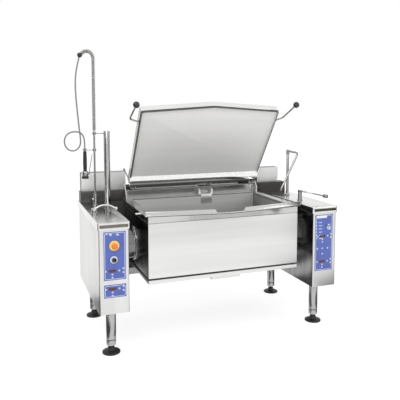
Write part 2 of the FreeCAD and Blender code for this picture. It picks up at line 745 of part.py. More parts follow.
def cover_strips():
    """Dark strips, set a little back in the slots of the covers."""
    setback = s.cover_sheet / 2
    start = front - s.cover_overhang + setback
    strips = [prism("XZ", strip_outline(side), start, start + setback) for side in (-1, 1)]
    node("cover_strips", group(*strips))


def console_frames():
    """Base plate and bearing carrier in each console, and the tube that ties the consoles at the back."""
    near, low = behind(s.beam_place) + s.beam_wall, s.console_floor
    frames = [box((-s.bay_half, near, low), (s.bay_half, near + s.tie_side, low + s.tie_side))]
    for side in (-1, 1):
        low, high = span(side, s.bay_half + s.casing_sheet, casing_far - s.casing_sheet)
        near, back = front + s.casing_sheet + s.corner_round, casing_back - s.casing_sheet - s.corner_round
        top = s.console_floor + s.base_plate
        base = box((low, near, s.console_floor), (high, back, top))
        inner = span(side, s.bay_half + s.casing_sheet, s.bay_half + s.casing_sheet + s.carrier_plate)
        middle, half = behind(s.axis_depth), s.carrier_half
        crest = s.axis_height + s.carrier_rise
        corners = [(middle - half * 1.6, top), (middle + half * 1.6, top), (middle + half, s.axis_height),
                   (middle + half, crest), (middle - half, crest), (middle - half, s.axis_height)]
        plate = prism("YZ", corners, inner[0], inner[1], [(middle, s.axis_height, s.journal_hole)])
        frames.append(console_entries(side, fuse(base, plate)))
    node("console_frames", group(*frames))


def console_entries(side, frame):
    """Threaded stubs for water under the left console, and the hole for the supply cable on the right."""
    x, y = side * (s.bay_half + s.console_width / 2), behind(s.entry_depth)
    if side > 0:
        return cut(frame, rod((x, y, s.console_floor - 1), "Z", s.cable_hole, s.base_plate + 2))
    low = s.console_floor - s.inlet_length
    shifts = (-s.inlet_spacing / 2, s.inlet_spacing / 2)
    stubs = [rod((x + shift, y, low), "Z", s.inlet_radius, s.inlet_length) for shift in shifts]
    return fuse(frame, *stubs)


def leg_places():
    across = s.bay_half + s.console_width / 2
    return [(side * across, behind(depth)) for side in (-1, 1) for depth in (s.leg_front, s.leg_rear)]


def legs_and_feet():
    """Round legs with a chamfered end, stems with their lock nuts, and round feet."""
    legs, stems, feet = [], [], []
    for x, y in leg_places():
        shoulder = s.leg_end + s.leg_chamfer
        leg = fuse(rod((x, y, shoulder), "Z", s.leg_radius, s.console_floor - shoulder),
                   cone((x, y, s.leg_end), s.leg_radius - s.leg_chamfer, s.leg_radius, s.leg_chamfer))
        bore_height = s.stem_reach + s.stem_clearance
        plug_top = s.leg_end + s.leg_plug
        legs.append(cut(leg, rod((x, y, s.leg_end), "Z", s.stem_radius + s.stem_clearance, bore_height),
                        rod((x, y, plug_top), "Z", s.leg_radius - s.leg_wall, s.console_floor - plug_top)))
        stem = rod((x, y, s.foot_height), "Z", s.stem_radius, s.leg_end + s.stem_reach - s.foot_height)
        nut = rod((x, y, s.leg_end - s.lock_nut_height), "Z", s.lock_nut_radius, s.lock_nut_height)
        stems.append(fuse(stem, nut))
        edge = s.foot_edge
        foot = turned([(0, 0), (s.foot_radius, 0), (s.foot_radius, edge), (s.foot_radius * 0.86, edge + 4),
                       (s.foot_radius * 0.42, edge + 11), (s.foot_radius * 0.36, s.foot_height),
                       (0, s.foot_height)])
        feet.append(place(foot, x, y))
    node("legs", group(*legs))
    node("foot_stems", group(*stems))
    node("feet", group(*feet))


# Bearings and tilting drive

bearing_near = s.bay_half + s.casing_sheet + s.carrier_plate
bearing_far = bearing_near + s.bearing_length
gearbox_near = bearing_far + s.gearbox_gap
gearbox_far = gearbox_near + s.gearbox_length


def bearings():
    """Square flange bearings on the carrier plates."""
    blocks = []
    y, z = behind(s.axis_depth), s.axis_height
    for side in (-1, 1):
        plate = span(side, bearing_near, bearing_near + s.bearing_plate)
        hub = span(side, bearing_near, bearing_far)
        half = s.bearing_half
        flange = prism("YZ", rectangle((y - half, z - half), (y + half, z + half)), plate[0], plate[1])
        round_edges(flange, s.corner_round, is_across)
        bore = s.journal_radius + s.running_clearance
        solid = fuse(flange, rod((hub[0], y, z), "X", s.bearing_hub, s.bearing_length))
        blocks.append(cut(solid, rod((hub[0] - 1, y, z), "X", bore, s.bearing_length + 2)))
    node("bearings", group(*blocks))


def tilting_drive():
    """Hollow-shaft worm gearbox on the left journal, its torque arm, and the motor below."""
    y, z = behind(s.axis_depth), s.axis_height
    half = s.gearbox_half
    bevel = half * 0.4
    outline = [(y - half, z - half), (y + half, z - half), (y + half, z + bevel), (y + bevel, z + half),
               (y - bevel, z + half), (y - half, z + bevel)]
    housing = prism("YZ", outline, -gearbox_far, -gearbox_near, [(y, z, s.drive_radius + s.running_clearance)])
    arm_back = y - s.bearing_half - s.torque_gap
    arm = box((-gearbox_near, arm_back - s.torque_arm, z - half / 2), (-bearing_near, arm_back, z + half / 2))
    x = -(gearbox_near + gearbox_far) / 2
    node("tilt_gearbox", fuse(housing, arm))
    boss = rod((x, y, z - half - s.motor_boss_length), "Z", s.motor_boss, s.motor_boss_length)
    frame = rod((x, y, z - half - s.motor_boss_length - s.motor_length), "Z", s.motor_radius, s.motor_length)
    node("tilt_motor", fuse(boss, frame))


def control_box():
    """Electrical enclosure on the inside of the right console's outer wall."""
    outer = casing_far - s.casing_sheet
    low = (outer - s.control_width, front + s.control_inset, s.console_floor + s.control_rise)
    high = (outer, low[1] + s.control_depth, low[2] + s.control_height)
    body = prism("XY", rectangle(low, high), low[2], high[2])
    node("control_box", round_edges(body, s.corner_round / 2, is_upright))


def trunnion(side, journal_end, drive_end=None):
    """Flange on the pan's side, wide tube across the gap, and the journal on its end plate."""
    flange = s.pan_half + s.trunnion_plate
    shoulder = s.bay_half - s.trunnion_gap
    inside, bevel = s.trunnion_radius - s.trunnion_wall, s.trunnion_plate / 3
    profile = [(shoulder - s.trunnion_end, 0), (shoulder - s.trunnion_end, inside), (s.pan_half, inside),
               (s.pan_half, s.trunnion_flange), (flange - bevel, s.trunnion_flange),
               (flange, s.trunnion_flange - bevel), (flange, s.trunnion_radius), (shoulder, s.trunnion_radius),
               (shoulder, s.journal_radius), (journal_end, s.journal_radius)]
    if drive_end is None:
        profile += [(journal_end, 0)]
    else:
        profile += [(journal_end, s.drive_radius), (drive_end, s.drive_radius), (drive_end, 0)]
    body = turned([(side * across, up) for across, up in profile], along="X")
    return place(body, 0, behind(s.axis_depth), s.axis_height)


# Tilting pan

mouth_corner = s.mouth_border - 1


def lofted(low, low_level, high, high_level):
    """A ruled solid between two level outlines with as many corners."""
    sections = []
    for corners, level in ((low, low_level), (high, high_level)):
        sketch = doc.addObject("Sketcher::SketchObject", "Section")
        draw(sketch, corners)
        place(sketch, 0, 0, level)
        sections.append(sketch)
    loft = doc.addObject("Part::Loft", "Loft")
    loft.Sections = sections
    loft.Solid = True
    loft.Ruled = True
    return loft


def pointed(half, corner, peak, back):
    """A five-sided outline whose front edge runs from two corners to a peak."""
    return [(-half, back), (-half, corner), (0, peak), (half, corner), (half, back)]


def vessel():
    """Well with a thick floor, whose front wall flares out towards the pouring lip."""
    half, wall = s.mouth_half, s.well_wall
    back, near = behind(s.mouth_back), behind(s.mouth_front)
    corner, peak = behind(mouth_corner), behind(mouth_corner - s.lip_reach)
    top = s.rim_height - s.rim_sheet
    floor = s.well_floor - s.well_plate
    block = box((-half - wall, near - wall, floor), (half + wall, back + wall, flare_height))
    flare = lofted(pointed(half + wall, near - wall, near - wall, back + wall), flare_height,
                   pointed(half + wall, corner - wall, peak - wall, back + wall), top)
    well = box((-half, near, s.well_floor), (half, back, flare_height))
    mouth = lofted(pointed(half, near, near, back), flare_height, pointed(half, corner, peak, back), top)
    node("vessel", cut(fuse(block, flare), fuse(well, mouth)))


def rim_edge(distance):
    """Y of the rim's front edge at a distance from the middle."""
    return front - s.lip_reach + s.lip_reach * distance / s.rim_half


def rim_frame():
    """Rim with the mouth cut out, its skirts, the notched ridge, the rear upstand and a side peg."""
    half, back = s.rim_half, behind(s.rim_back)
    top, under = s.rim_height, s.rim_height - s.rim_sheet
    rim = prism("XY", pointed(half, front, front - s.lip_reach, back), under, top)
    corner, peak = behind(mouth_corner), behind(mouth_corner - s.lip_reach)
    pocket(rim, "XY", pointed(s.mouth_half, corner, peak, behind(s.mouth_back)), under, top)
    sheet_edge = s.skirt_sheet
    near = behind(s.pan_front)
    flare_half = s.pan_half - sheet_edge
    sections = []
    for middle in (near, front - s.lip_reach + s.rim_overhang):
        sections.append([(-flare_half, near), (0, middle), (flare_half, near), (flare_half, near + sheet_edge),
                         (0, middle + sheet_edge), (-flare_half, near + sheet_edge)])
    flare = lofted(sections[0], flare_height, sections[1], under)
    far = behind(s.pan_back)
    skirts = [box((-s.pan_half, far - sheet_edge, flare_height), (s.pan_half, far, under))]
    for side in (-1, 1):
        low, high = span(side, s.pan_half - sheet_edge, s.pan_half)
        skirts.append(box((low, near, flare_height), (high, far - sheet_edge, under)))
    upright, fold = s.ridge_thickness / 2, back - s.upstand_return
    outline = [(back - upright, top), (back, top), (back, upstand_top), (fold, upstand_top),
               (fold, upstand_top - upright), (back - upright, upstand_top - upright)]
    upstand = prism("YZ", outline, -s.gusset_place, s.gusset_place)
    reach = s.peg_length + half - s.pan_half
    peg = rod((-half - s.peg_length, behind(s.peg_depth), under), "X", s.peg_radius, reach)
    node("rim_frame", fuse(rim, flare, *skirts, pouring_ridge(), upstand, peg))


def pouring_ridge():
    """Ridge along the front edge, sloped down where it leaves the pouring gap open."""
    top, crest = s.rim_height, s.rim_height + s.ridge_height
    end = s.rim_half - s.ridge_setback
    gap, slope = s.spout_half, s.spout_slope
    near, far = front - s.lip_reach, behind(s.mouth_border)
    ridges = []
    for side in (-1, 1):
        outline = [(side * gap, top), (side * end, top), (side * end, crest), (side * (gap + slope), crest)]
        wall = prism("XZ", outline, near, far)
        start, stop = rim_edge(0) + s.ridge_setback, rim_edge(end) + s.ridge_setback
        strip = prism("XY", [(0, start), (side * end, stop), (side * end, stop + s.ridge_thickness),
                             (0, start + s.ridge_thickness)], top, crest)
        round_edges(strip, s.ridge_round, runs_along_crest)
        ridges.append(common(wall, strip))
    return fuse(*ridges)


def runs_along_crest(one, other):
    """True for the long edges along the top of the ridge."""
    level = (s.rim_height + s.ridge_height).number - 0.01
    return min(one.z, other.z) > level and abs(one.x - other.x) > 1


def pan_casing():
    """Outer casing of the pan, open above for the rim and below for the bottom cover."""
    outline = rectangle((-s.pan_half, behind(s.pan_front)), (s.pan_half, behind(s.pan_back)))
    body = prism("XY", outline, casing_underside, flare_height)
    wall, half = s.casing_sheet, s.pan_half - s.casing_sheet
    inside = rectangle((-half, behind(s.pan_front) + wall), (half, behind(s.pan_back) - wall))
    node("pan_casing", pocket(body, "XY", inside, casing_underside, flare_height))


def bottom_cover():
    """Shallow tray under the pan, whose tongue leaves a groove and reaches up to the cradle."""
    wall, inset = s.casing_sheet, s.tongue_inset
    near, back = behind(s.pan_front), behind(s.pan_back)
    outer = rectangle((-s.pan_half, near), (s.pan_half, back))
    tongue = rectangle((inset - s.pan_half, near + inset), (s.pan_half - inset, back - inset))
    half, margin = s.pan_half - inset - wall, inset + wall
    inner = rectangle((-half, near + margin), (half, back - margin))
    tongue_top = s.axis_height - s.cradle_drop
    body = prism("XY", outer, tray_underside, tray_top)
    pad(body, "XY", tongue, tray_top, tongue_top)
    pocket(body, "XY", inner, tray_underside + wall, tongue_top)
    node("bottom_cover", fuse(body, bottom_pull()))


def bottom_pull():
    """Flat pull under the front of the pan, open towards the back."""
    low, top = tray_underside - s.pull_height, tray_underside
    near, back = behind(s.pan_front + 10), behind(s.pan_front + 10 + s.pull_depth)
    body = prism("XY", rectangle((-s.pull_half, near), (s.pull_half, back)), low, top)
    round_edges(body, s.corner_round, is_upright)
    edge = s.corner_round
    inside = rectangle((edge - s.pull_half, near + edge), (s.pull_half - edge, back + 1))
    return pocket(body, "XY", inside, low + s.casing_sheet, top)


def cradle():
    """Welded frame inside the casing: side plates, ledges under the well and two beams."""
    y, z = behind(s.axis_depth), s.axis_height
    outer = s.pan_half - s.casing_sheet
    inner, half = outer - s.cradle_plate, s.cradle_half
    top = s.well_floor - s.well_plate
    beam_top = top - 2 * s.element_radius - s.insulation_height
    pieces = []
    for side in (-1, 1):
        low, high = span(side, inner, outer)
        bottom = z - s.cradle_drop
        outline = [(y - half, z), (y - half / 2, bottom), (y + half / 2, bottom), (y + half, z),
                   (y + half, top), (y - half, top)]
        pieces.append(prism("YZ", outline, low, high))
        ledge = span(side, outer - s.cradle_ledge, inner)
        pieces.append(box((ledge[0], y - half, top - s.cradle_plate), (ledge[1], y + half, top)))
    for near in (y - half, y + half - s.cradle_beam):
        pieces.append(box((-inner, near, beam_top - s.cradle_beam), (inner, near + s.cradle_beam, beam_top)))
    node("cradle", fuse(*pieces))


def heating():
    """Hairpin elements against the well's floor and the insulation that backs them."""
    radius = s.element_radius.number
    level = s.well_floor - s.well_plate - s.element_radius
    end = (s.mouth_half - s.element_inset).number
    pitch = s.element_spacing.number
    hairpins = []
    for turn in (-2, 0, 2):
        near = turn * pitch - pitch / 2
        points = [FreeCAD.Vector(-end, near, 0), FreeCAD.Vector(end, near, 0),
                  FreeCAD.Vector(end, near + pitch, 0), FreeCAD.Vector(-end, near + pitch, 0)]
        hairpins.append(bent_rod(points, [pitch * 0.45] * 2, radius))
    middle = behind((s.mouth_front + s.mouth_back) / 2)
    shaped("heating_elements", Part.makeCompound(hairpins), 0, middle, level)
    half = s.pan_half - s.casing_sheet - s.cradle_ledge - s.element_inset / 10
    high = level - s.element_radius
    low = high - s.insulation_height
    node("insulation", box((-half, behind(s.mouth_front), low), (half, behind(s.mouth_back), high)))


# Hinge on the back of the pan

hinge_y, hinge_z = behind(s.hinge_depth), s.rim_height + s.hinge_rise


def ear(low, high, bore):
    """An ear that stands on the rim before the upstand and reaches back to the hinge."""
    foot, back = behind(s.ear_front), behind(s.rim_back) - s.upstand_return
    shoulder = upstand_top + 2
    far, crest = hinge_y + s.ear_back, hinge_z + s.ear_back
    half_hub = s.hub_radius * 0.5
    corners = [(foot, s.rim_height), (back, s.rim_height), (back, shoulder), (far, shoulder + 4),
               (far, hinge_z + half_hub), (hinge_y + half_hub, crest), (hinge_y - s.hub_radius * 0.6, crest),
               (foot, s.rim_height + s.ear_slope)]
    return prism("YZ", corners, low, high, [(hinge_y, hinge_z, bore)])


def hinge_on_pan():
    """Gussets at both ends, a two-eared bracket, the shaft, and the spring sleeves."""
    bore = s.hinge_radius
    ends = [span(side, s.gusset_place, s.gusset_place + s.gusset_plate) for side in (-1, 1)]
    gussets = [ear(low, high, bore) for low, high in ends]
    left, right = s.bracket_place - s.bracket_half, s.bracket_place + s.bracket_half
    tongue_front, tongue_back = behind(s.mouth_back) - s.arm_plate / 2, behind(s.mouth_back)
    tongue = box((s.bracket_place - s.bracket_tongue, tongue_front, s.rim_height - s.bracket_drop),
                 (s.bracket_place + s.bracket_tongue, tongue_back, s.rim_height + s.arm_plate))
    foot = box((left, tongue_back, s.rim_height),
               (right, behind(s.rim_back) - s.upstand_return, s.rim_height + s.arm_plate))
    ears = ear(left, left + s.bracket_ear, bore), ear(right - s.bracket_ear, right, bore)
    node("hinge_brackets", group(*gussets, fuse(*ears, tongue, foot)))
    end = s.gusset_place + s.gusset_plate
    node("hinge_shaft", rod((-end, hinge_y, hinge_z), "X", s.hinge_radius, 2 * end))
    sleeves = []
    for start, length in ((-s.left_sleeve_end - s.left_sleeve_length, s.left_sleeve_length),
                          (s.right_sleeve_end, s.right_sleeve_length)):
        sleeves.append(cut(rod((start, hinge_y, hinge_z), "X", s.sleeve_radius, length),
                           rod((start - 1, hinge_y, hinge_z), "X", s.hinge_radius, length + 2)))
    node("spring_sleeves", group(*sleeves))


def catch_lever():
    """Lever with a knob that turns on the hinge shaft beside the left arm."""
    bore = s.hinge_radius + s.running_clearance
    start, width = -s.catch_place - s.catch_width / 2, s.catch_width
    hub = cut(rod((start, 0, 0), "X", s.hub_radius, width), rod((start - 1, 0, 0), "X", bore, width + 2))
    doc.recompute()
    x, base, top = -s.catch_place.number, s.hub_radius.number - 2, s.catch_height.number
    lean = s.catch_lean.number
    points = [FreeCAD.Vector(x, 0, base), FreeCAD.Vector(x, 0, base + 16), FreeCAD.Vector(x - lean, 0, top)]
    lever = hub.Shape.fuse(bent_rod(points, [s.catch_rod.number * 2], s.catch_rod.number))
    knob = Part.makeSphere(s.catch_knob.number, points[-1])
    shaped("lid_catch", lever.fuse(knob).removeSplitter(), 0, hinge_y, hinge_z)


# Lid, drawn shut with its hinge at the origin


def swing(name, thing):
    """Swing a piece of the lid open about the hinge."""
    return node(name, place(thing, 0, hinge_y, hinge_z, (-1, 0, 0), s.lid_open_angle))


def lid_outline(margin, back):
    """The lid's plan, smaller all round by a margin."""
    return pointed(s.lid_half - margin, margin - s.lid_front, margin - s.lid_front - s.lid_peak, -back)


def lid_shell():
    """Pressed cover with a pointed front edge, deep side skirts and a border round the seal."""
    sheet_edge = s.lid_sheet
    body = prism("XY", lid_outline(0, s.lid_back), -s.lid_lip, s.lid_top)
    top = s.lid_top.number
    round_edges(body, s.lid_round, lambda one, other: abs(one.z - top) < 0.01 and abs(other.z - top) < 0.01)
    pocket(body, "XY", lid_outline(sheet_edge, s.lid_back + sheet_edge), -s.lid_lip, s.lid_top - sheet_edge)
    skirts = []
    for side in (-1, 1):
        low, high = span(side, s.lid_half - sheet_edge, s.lid_half)
        skirts.append(box((low, -s.skirt_front, -s.lid_skirt), (high, -s.skirt_back, -s.lid_lip)))
    inner = s.lid_half - sheet_edge
    low, high = -s.liner_level, sheet_edge - s.liner_level
    border = prism("XY", lid_outline(sheet_edge, s.liner_back), low, high)
    pocket(border, "XY", lid_outline(sheet_edge + s.liner_border, s.liner_back), low, high)
    shelf = box((-inner, -s.lid_back - s.back_shelf, -s.back_level),
                (inner, -s.lid_back, sheet_edge - s.back_level))
    wall = box((-inner, -s.lid_back - sheet_edge, sheet_edge - s.back_level), (inner, -s.lid_back, -s.lid_lip))
    swing("lid_shell", fuse(body, *skirts, border, shelf, wall))


def lid_liner():
    """Inner panel, whose back turns down to the shelf at the back of the lid."""
    margin = s.lid_sheet + s.liner_border + s.seal_width
    sheet_edge = s.lid_sheet
    panel = prism("XY", lid_outline(margin, s.liner_back), -s.liner_level, sheet_edge - s.liner_level)
    foot = s.lid_back + s.back_shelf
    half = s.lid_half - margin
    slope = [(-s.liner_back, -s.liner_level), (-foot, -s.back_level), (-foot, sheet_edge - s.back_level),
             (-s.liner_back, sheet_edge - s.liner_level)]
    swing("lid_liner", fuse(panel, prism("YZ", slope, -half, half)))


def lid_seal():
    """Seal between the liner and the border of the shell."""
    outer, low, high = s.lid_sheet + s.liner_border, -s.liner_level, s.lid_sheet - s.liner_level
    body = prism("XY", lid_outline(outer, s.liner_back), low, high)
    pocket(body, "XY", lid_outline(outer + s.seal_width, s.liner_back), low, high)
    swing("lid_seal", body)


def lid_arm(low, high):
    """Plate from the back wall of the lid to a hub on the hinge shaft."""
    hub, wall = s.hub_radius, s.lid_back
    slant = hub * 0.7
    corners = [(-wall, s.lid_top - s.lid_round), (-wall, -hub), (-hub * 1.4, -hub * 0.6), (-slant, -slant),
               (0, -hub), (slant, -slant), (hub, 0), (slant, slant), (0, hub), (-hub, hub)]
    return prism("YZ", corners, low, high, [(0, 0, s.hinge_radius + s.running_clearance)])


def lid_hinges():
    arms = [lid_arm(*span(side, place_of_arm, place_of_arm + s.arm_plate))
            for side, place_of_arm in ((-1, s.left_arm_place), (1, s.right_arm_place))]
    swing("lid_arms", group(*arms))
    inset = s.bracket_half - s.bracket_ear - s.knuckle_gap
    swing("lid_knuckle", lid_arm(s.bracket_place - inset, s.bracket_place + inset))


def lid_handles():
    """Bent rods from the sides of the lid, forward to the black balls."""
    rods, balls = [], []
    for side in (-1, 1):
        wall, out = side * s.lid_half.number, side * (s.lid_half + s.handle_out).number
        root, level = -s.handle_root.number, -s.handle_level.number
        forward, drop = s.handle_forward.number, s.handle_drop.number
        points = [FreeCAD.Vector(wall, root, level), FreeCAD.Vector(out, root, level),
                  FreeCAD.Vector(out, root - forward, level - drop)]
        rods.append(bent_rod(points, [s.handle_bend.number], s.handle_radius.number))
        balls.append(Part.makeSphere(s.ball_radius.number, points[-1]).cut(rods[-1]))
    shaped("handle_rods", Part.makeCompound(rods), 0, hinge_y, hinge_z, (-1, 0, 0), s.lid_open_angle)
    shaped("handle_balls", Part.makeCompound(balls), 0, hinge_y, hinge_z, (-1, 0, 0), s.lid_open_angle)


# Beam and boxes behind the pan


def rear_beam():
    """Folded channel across the machine, open below, on the backs of both covers."""
    near, low = behind(s.beam_place), s.work_height
    back, top = near + s.beam_depth, low + s.beam_height
    wall = s.beam_wall
    body = prism("XY", rectangle((-casing_far, near), (casing_far, back)), low, top)
    inside = rectangle((wall - casing_far, near + wall), (casing_far - wall, back - wall))
    node("rear_beam", pocket(body, "XY", inside, low, top - wall))


def rear_box(name, outline, hollow_low, hollow_high):
    """Box of sheet on the beam, hollow from below."""
    near, back = behind(s.box_place), behind(s.box_place) + s.box_depth
    wall, floor = s.box_sheet, s.work_height + s.beam_height
    body = prism("XZ", outline, near, back)
    hollow = rectangle((hollow_low + wall, near + wall), (hollow_high - wall, back - wall))
    node(name, pocket(body, "XY", hollow, floor, outline[-1][1] - wall))


def rear_boxes():
    floor = s.work_height + s.beam_height
    outer = s.left_box_inset - casing_far
    inner = outer + s.left_box_length
    rear_box("left_box", rectangle((outer, floor), (inner, floor + s.left_box_height)), outer, inner)
    outer = casing_far - s.right_box_inset
    inner = outer - s.right_box_length
    top, bevel = floor + s.right_box_height, s.right_box_chamfer
    outline = [(inner, floor), (outer - bevel, floor), (outer, floor + bevel), (outer, top), (inner, top)]
    rear_box("right_box", outline, inner, outer - bevel)


def rear_panel():
    """Dark sheet from the tie between the consoles up into the beam, notched beside the covers."""
    near = behind(s.beam_place) + s.beam_wall
    low, high = s.console_floor + s.tie_side, s.work_height + s.back_lap
    wide, narrow = s.bay_half, s.bay_half - s.cover_overhang - s.back_gap
    notch = cover_underside - s.back_gap
    outline = [(-wide, low), (wide, low), (wide, notch), (narrow, notch), (narrow, high), (-narrow, high),
               (-narrow, notch), (-wide, notch)]
    node("rear_panel", prism("XZ", outline, near, near + s.back_sheet))


# Control panels and what is on them


def panel_holes_left(clear):
    return [(stop_x, stop_level, s.stop_stem + clear), (selector_x, selector_level, s.knob_stem + clear)]


def panel_holes_right(clear):
    return [(dial_x, dial_level, s.knob_stem + clear)]


def control_panels():
    """Thin printed panels on the fronts of the consoles."""
    near = front - s.panel_plate
    fit = s.running_clearance
    low, high = left_panels
    upper = rectangle((low, upper_panel_low), (high, panel_top))
    lower = rectangle((low, lower_panel_low), (high, lower_panel_top))
    right = rectangle((right_panel[0], right_panel_low), (right_panel[1], panel_top))
    upper = prism("XZ", upper, near, front, panel_holes_left(fit))
    lower = prism("XZ", lower, near, front)
    right = prism("XZ", right, near, front, panel_holes_right(fit))
    node("control_panels", group(upper, lower, right))


def display_places():
    left = (left_panels[0] + left_panels[1]) / 2 - s.left_display_shift
    right = (right_panel[0] + right_panel[1]) / 2 - s.right_display_shift
    low = right_panel_low
    return [(left, upper_panel_low + s.upper_display_rise), (left, lower_panel_low + s.lower_display_rise),
            (right, low + s.right_display_rise), (right, low + s.right_low_display_rise)]


def key_places():
    """Keys in the same order round every display, and pairs of lamps at the panels' tops."""
    places = []
    for x, z in display_places():
        places += [(x - s.key_left, z), (x + s.key_right, z), (x + s.key_column, z + s.key_up),
                   (x + s.key_column, z - s.key_down), (x, z - s.key_under), (x, z - s.key_far_under)]
    middle, level = (left_panels[0] + left_panels[1]) / 2, panel_top - s.lamp_drop
    places += [(middle - s.lamp_left, level), (middle + s.lamp_right, level)]
    x, z = display_places()[2]
    places += [(x - s.key_left, z - s.key_field), (x, z - s.key_field), (x + s.key_right, z - s.key_field),
               (x, z - s.key_field_low)]
    return places


def displays_and_keys():
    near = front - s.panel_plate - s.key_rise
    windows = []
    for x, z in display_places():
        low, high = z - s.display_height / 2, z + s.display_height / 2
        outline = rectangle((x - s.display_half, low), (x + s.display_half, high))
        windows.append(prism("XZ", outline, near, near + s.key_rise))
    node("displays", group(*windows))
    node("membrane_keys", group(*[rod((x, near, z), "Y", s.key_radius, s.key_rise) for x, z in key_places()]))


def emergency_stop():
    """Mushroom head on a stem that slides in the bore of its ring."""
    panel = front - s.panel_plate
    ring_front = panel - s.stop_ring_plate
    start = (stop_x, ring_front, stop_level)
    ring = rod(start, "Y", s.stop_ring_radius, s.stop_ring_plate)
    node("stop_ring", cut(ring, rod(start, "Y", s.stop_stem + s.running_clearance, s.stop_ring_plate)))
    head, rise = s.stop_head, s.stop_head_height
    length = s.stop_gap + s.stop_ring_plate + s.panel_plate + s.stop_reach
    profile = [(0, 0), (head * 0.55, 0), (head * 0.85, rise * 0.16), (head, rise * 0.42), (head, rise * 0.8),
               (head * 0.72, rise), (s.stop_stem, rise), (s.stop_stem, rise + length), (0, rise + length)]
    button = turned(profile)
    y = ring_front - s.stop_gap - rise
    node("stop_button", place(button, stop_x, y, stop_level, (1, 0, 0), -90))


def knob(name, x, z):
    """Round knob with a raised pointer, on a stem through its panel."""
    near = front - s.panel_plate - s.knob_gap - s.knob_height
    cap = rod((x, near, z), "Y", s.knob_radius, s.knob_height)
    pointer = box((x - s.pointer_half, near - 3, z - s.knob_radius * 0.8),
                  (x + s.pointer_half, near + 1, z + s.knob_radius * 0.9))
    stem = rod((x, near + 1, z), "Y", s.knob_stem, s.knob_height + s.knob_gap + s.panel_plate + s.knob_reach)
    node(name, fuse(cap, pointer, stem))


# Spray on the left console

spray_y = behind(s.spray_depth)


def spray_column():
    """Valve with its knob, riser and pole."""
    x = riser_x
    low = s.work_height
    end, middle = x - s.valve_reach, low + s.valve_height / 2
    valve = fuse(rod((x, spray_y, low), "Z", s.valve_radius + s.casing_sheet * 3, s.casing_sheet * 3),
                 rod((x, spray_y, low), "Z", s.valve_radius, s.valve_height),
                 rod((end, spray_y, middle), "X", s.valve_boss, s.valve_reach))
    bore = rod((x, spray_y, low - 1), "Z", s.riser_radius, s.valve_height + 2)
    seat = rod((end - 1, spray_y, middle), "X", s.valve_stem + s.running_clearance, s.valve_stem_reach + 1)
    node("spray_valve", cut(valve, bore, seat))
    knob_near = end - s.knob_gap
    cap = rod((knob_near - s.valve_knob_width, spray_y, middle), "X", s.valve_knob, s.valve_knob_width)
    stem = rod((knob_near - 1, spray_y, middle), "X", s.valve_stem, s.valve_stem_reach)
    node("valve_knob", fuse(cap, stem))
    node("spray_riser", rod((x, spray_y, low - 20), "Z", s.riser_radius, riser_top - low + 20))
    foot = (pole_x, behind(s.pole_depth), low)
    inside = rod(foot, "Z", s.pole_radius - s.pole_wall, s.pole_height - s.pole_wall)
    node("spray_pole", cut(rod(foot, "Z", s.pole_radius, s.pole_height), inside))


def riser_clamps():
    """Clamp from the riser to the pole, and the fork under the gun's collar."""
    x, z = riser_x, riser_top - s.clamp_drop
    low, height = z - s.clamp_height / 2, s.clamp_height
    bore = rod((x, spray_y, low), "Z", s.riser_radius, height)
    run = FreeCAD.Vector((pole_x - riser_x).number, (s.pole_depth - s.spray_depth).number, 0)
    arm = doc.addObject("Part::Cylinder", "Bar")
    bind(arm, "Radius", s.trigger_radius * 1.5)
    arm.Height = run.Length
    turn = FreeCAD.Rotation(FreeCAD.Vector(0, 0, 1), run)
    arm.Placement = FreeCAD.Placement(vector(x, spray_y, z), turn)
    pole = rod((pole_x, behind(s.pole_depth), low), "Z", s.pole_radius, height)
    clamp = cut(fuse(rod((x, spray_y, low), "Z", s.clamp_radius, height), arm), bore, pole)
    collar_low = gun_top - s.collar_height
    plate_low = collar_low - s.fork_plate
    boss_low, boss_height = plate_low - s.fork_boss, s.fork_plate + s.fork_boss * 2
    plate = box((gun_x - s.fork_half, spray_y - s.fork_half, plate_low), (x, spray_y + s.fork_half, collar_low))
    fork = fuse(rod((x, spray_y, boss_low), "Z", s.clamp_radius, boss_height), plate)
    slot_half = s.gun_neck + s.fork_clearance
    slot = box((gun_x - slot_half, spray_y - s.fork_half - 1, plate_low - 1),
               (gun_x + slot_half, spray_y, collar_low + 1))
    neck = rod((gun_x, spray_y, plate_low - 1), "Z", slot_half, s.fork_plate + 2)
    riser = rod((x, spray_y, boss_low), "Z", s.riser_radius, boss_height)
    node("riser_clamps", group(clamp, cut(fork, slot, neck, riser)))


def guard_points():
    """Up from the riser, over the arch and down to the ball, the turns shared evenly."""
    x, radius, level = riser_x.number, s.arch_radius.number, arch_level.number
    y = spray_y.number
    turn = math.radians(40.75)
    side = 2 * radius * math.tan(turn / 2)
    points = [FreeCAD.Vector(x, y, riser_top.number), FreeCAD.Vector(x, y, level)]
    heading = math.pi / 2
    for _ in range(3):
        heading += turn
        points.append(points[-1] + FreeCAD.Vector(math.cos(heading), 0, math.sin(heading)) * side)
    return points


# Points of the hose, from the ball to the gun: X and Y from the riser, Z above the covers
HOSE_ROUTE = [
    (-120, -2, 1000), (-131, -5, 900), (-128, -8, 790), (-119, -11, 680), (-111, -13, 580),
    (-101, -14, 491.5), (-101, -13, 448.5), (-122, -10, 413.8), (-157, -6, 400.5), (-191.7, -2, 413.8),
    (-213, 2, 448.5), (-213, 6, 491.5), (-191.7, 9, 526.2), (-157, 11, 540.5), (-120, 12, 541),
    (-87, 11, 526), (-72, 7, 493), (-70, 0, 455),
]


def hose_points():
    start, end = vector(ferrule_x, spray_y, ferrule_level), vector(gun_x, spray_y, gun_top)
    route = [vector(riser_x + x, spray_y + y, s.work_height + z) for x, y, z in HOSE_ROUTE]
    exit_way = (route[0] - start).normalize()
    return [start + exit_way * 8] + route + [end]


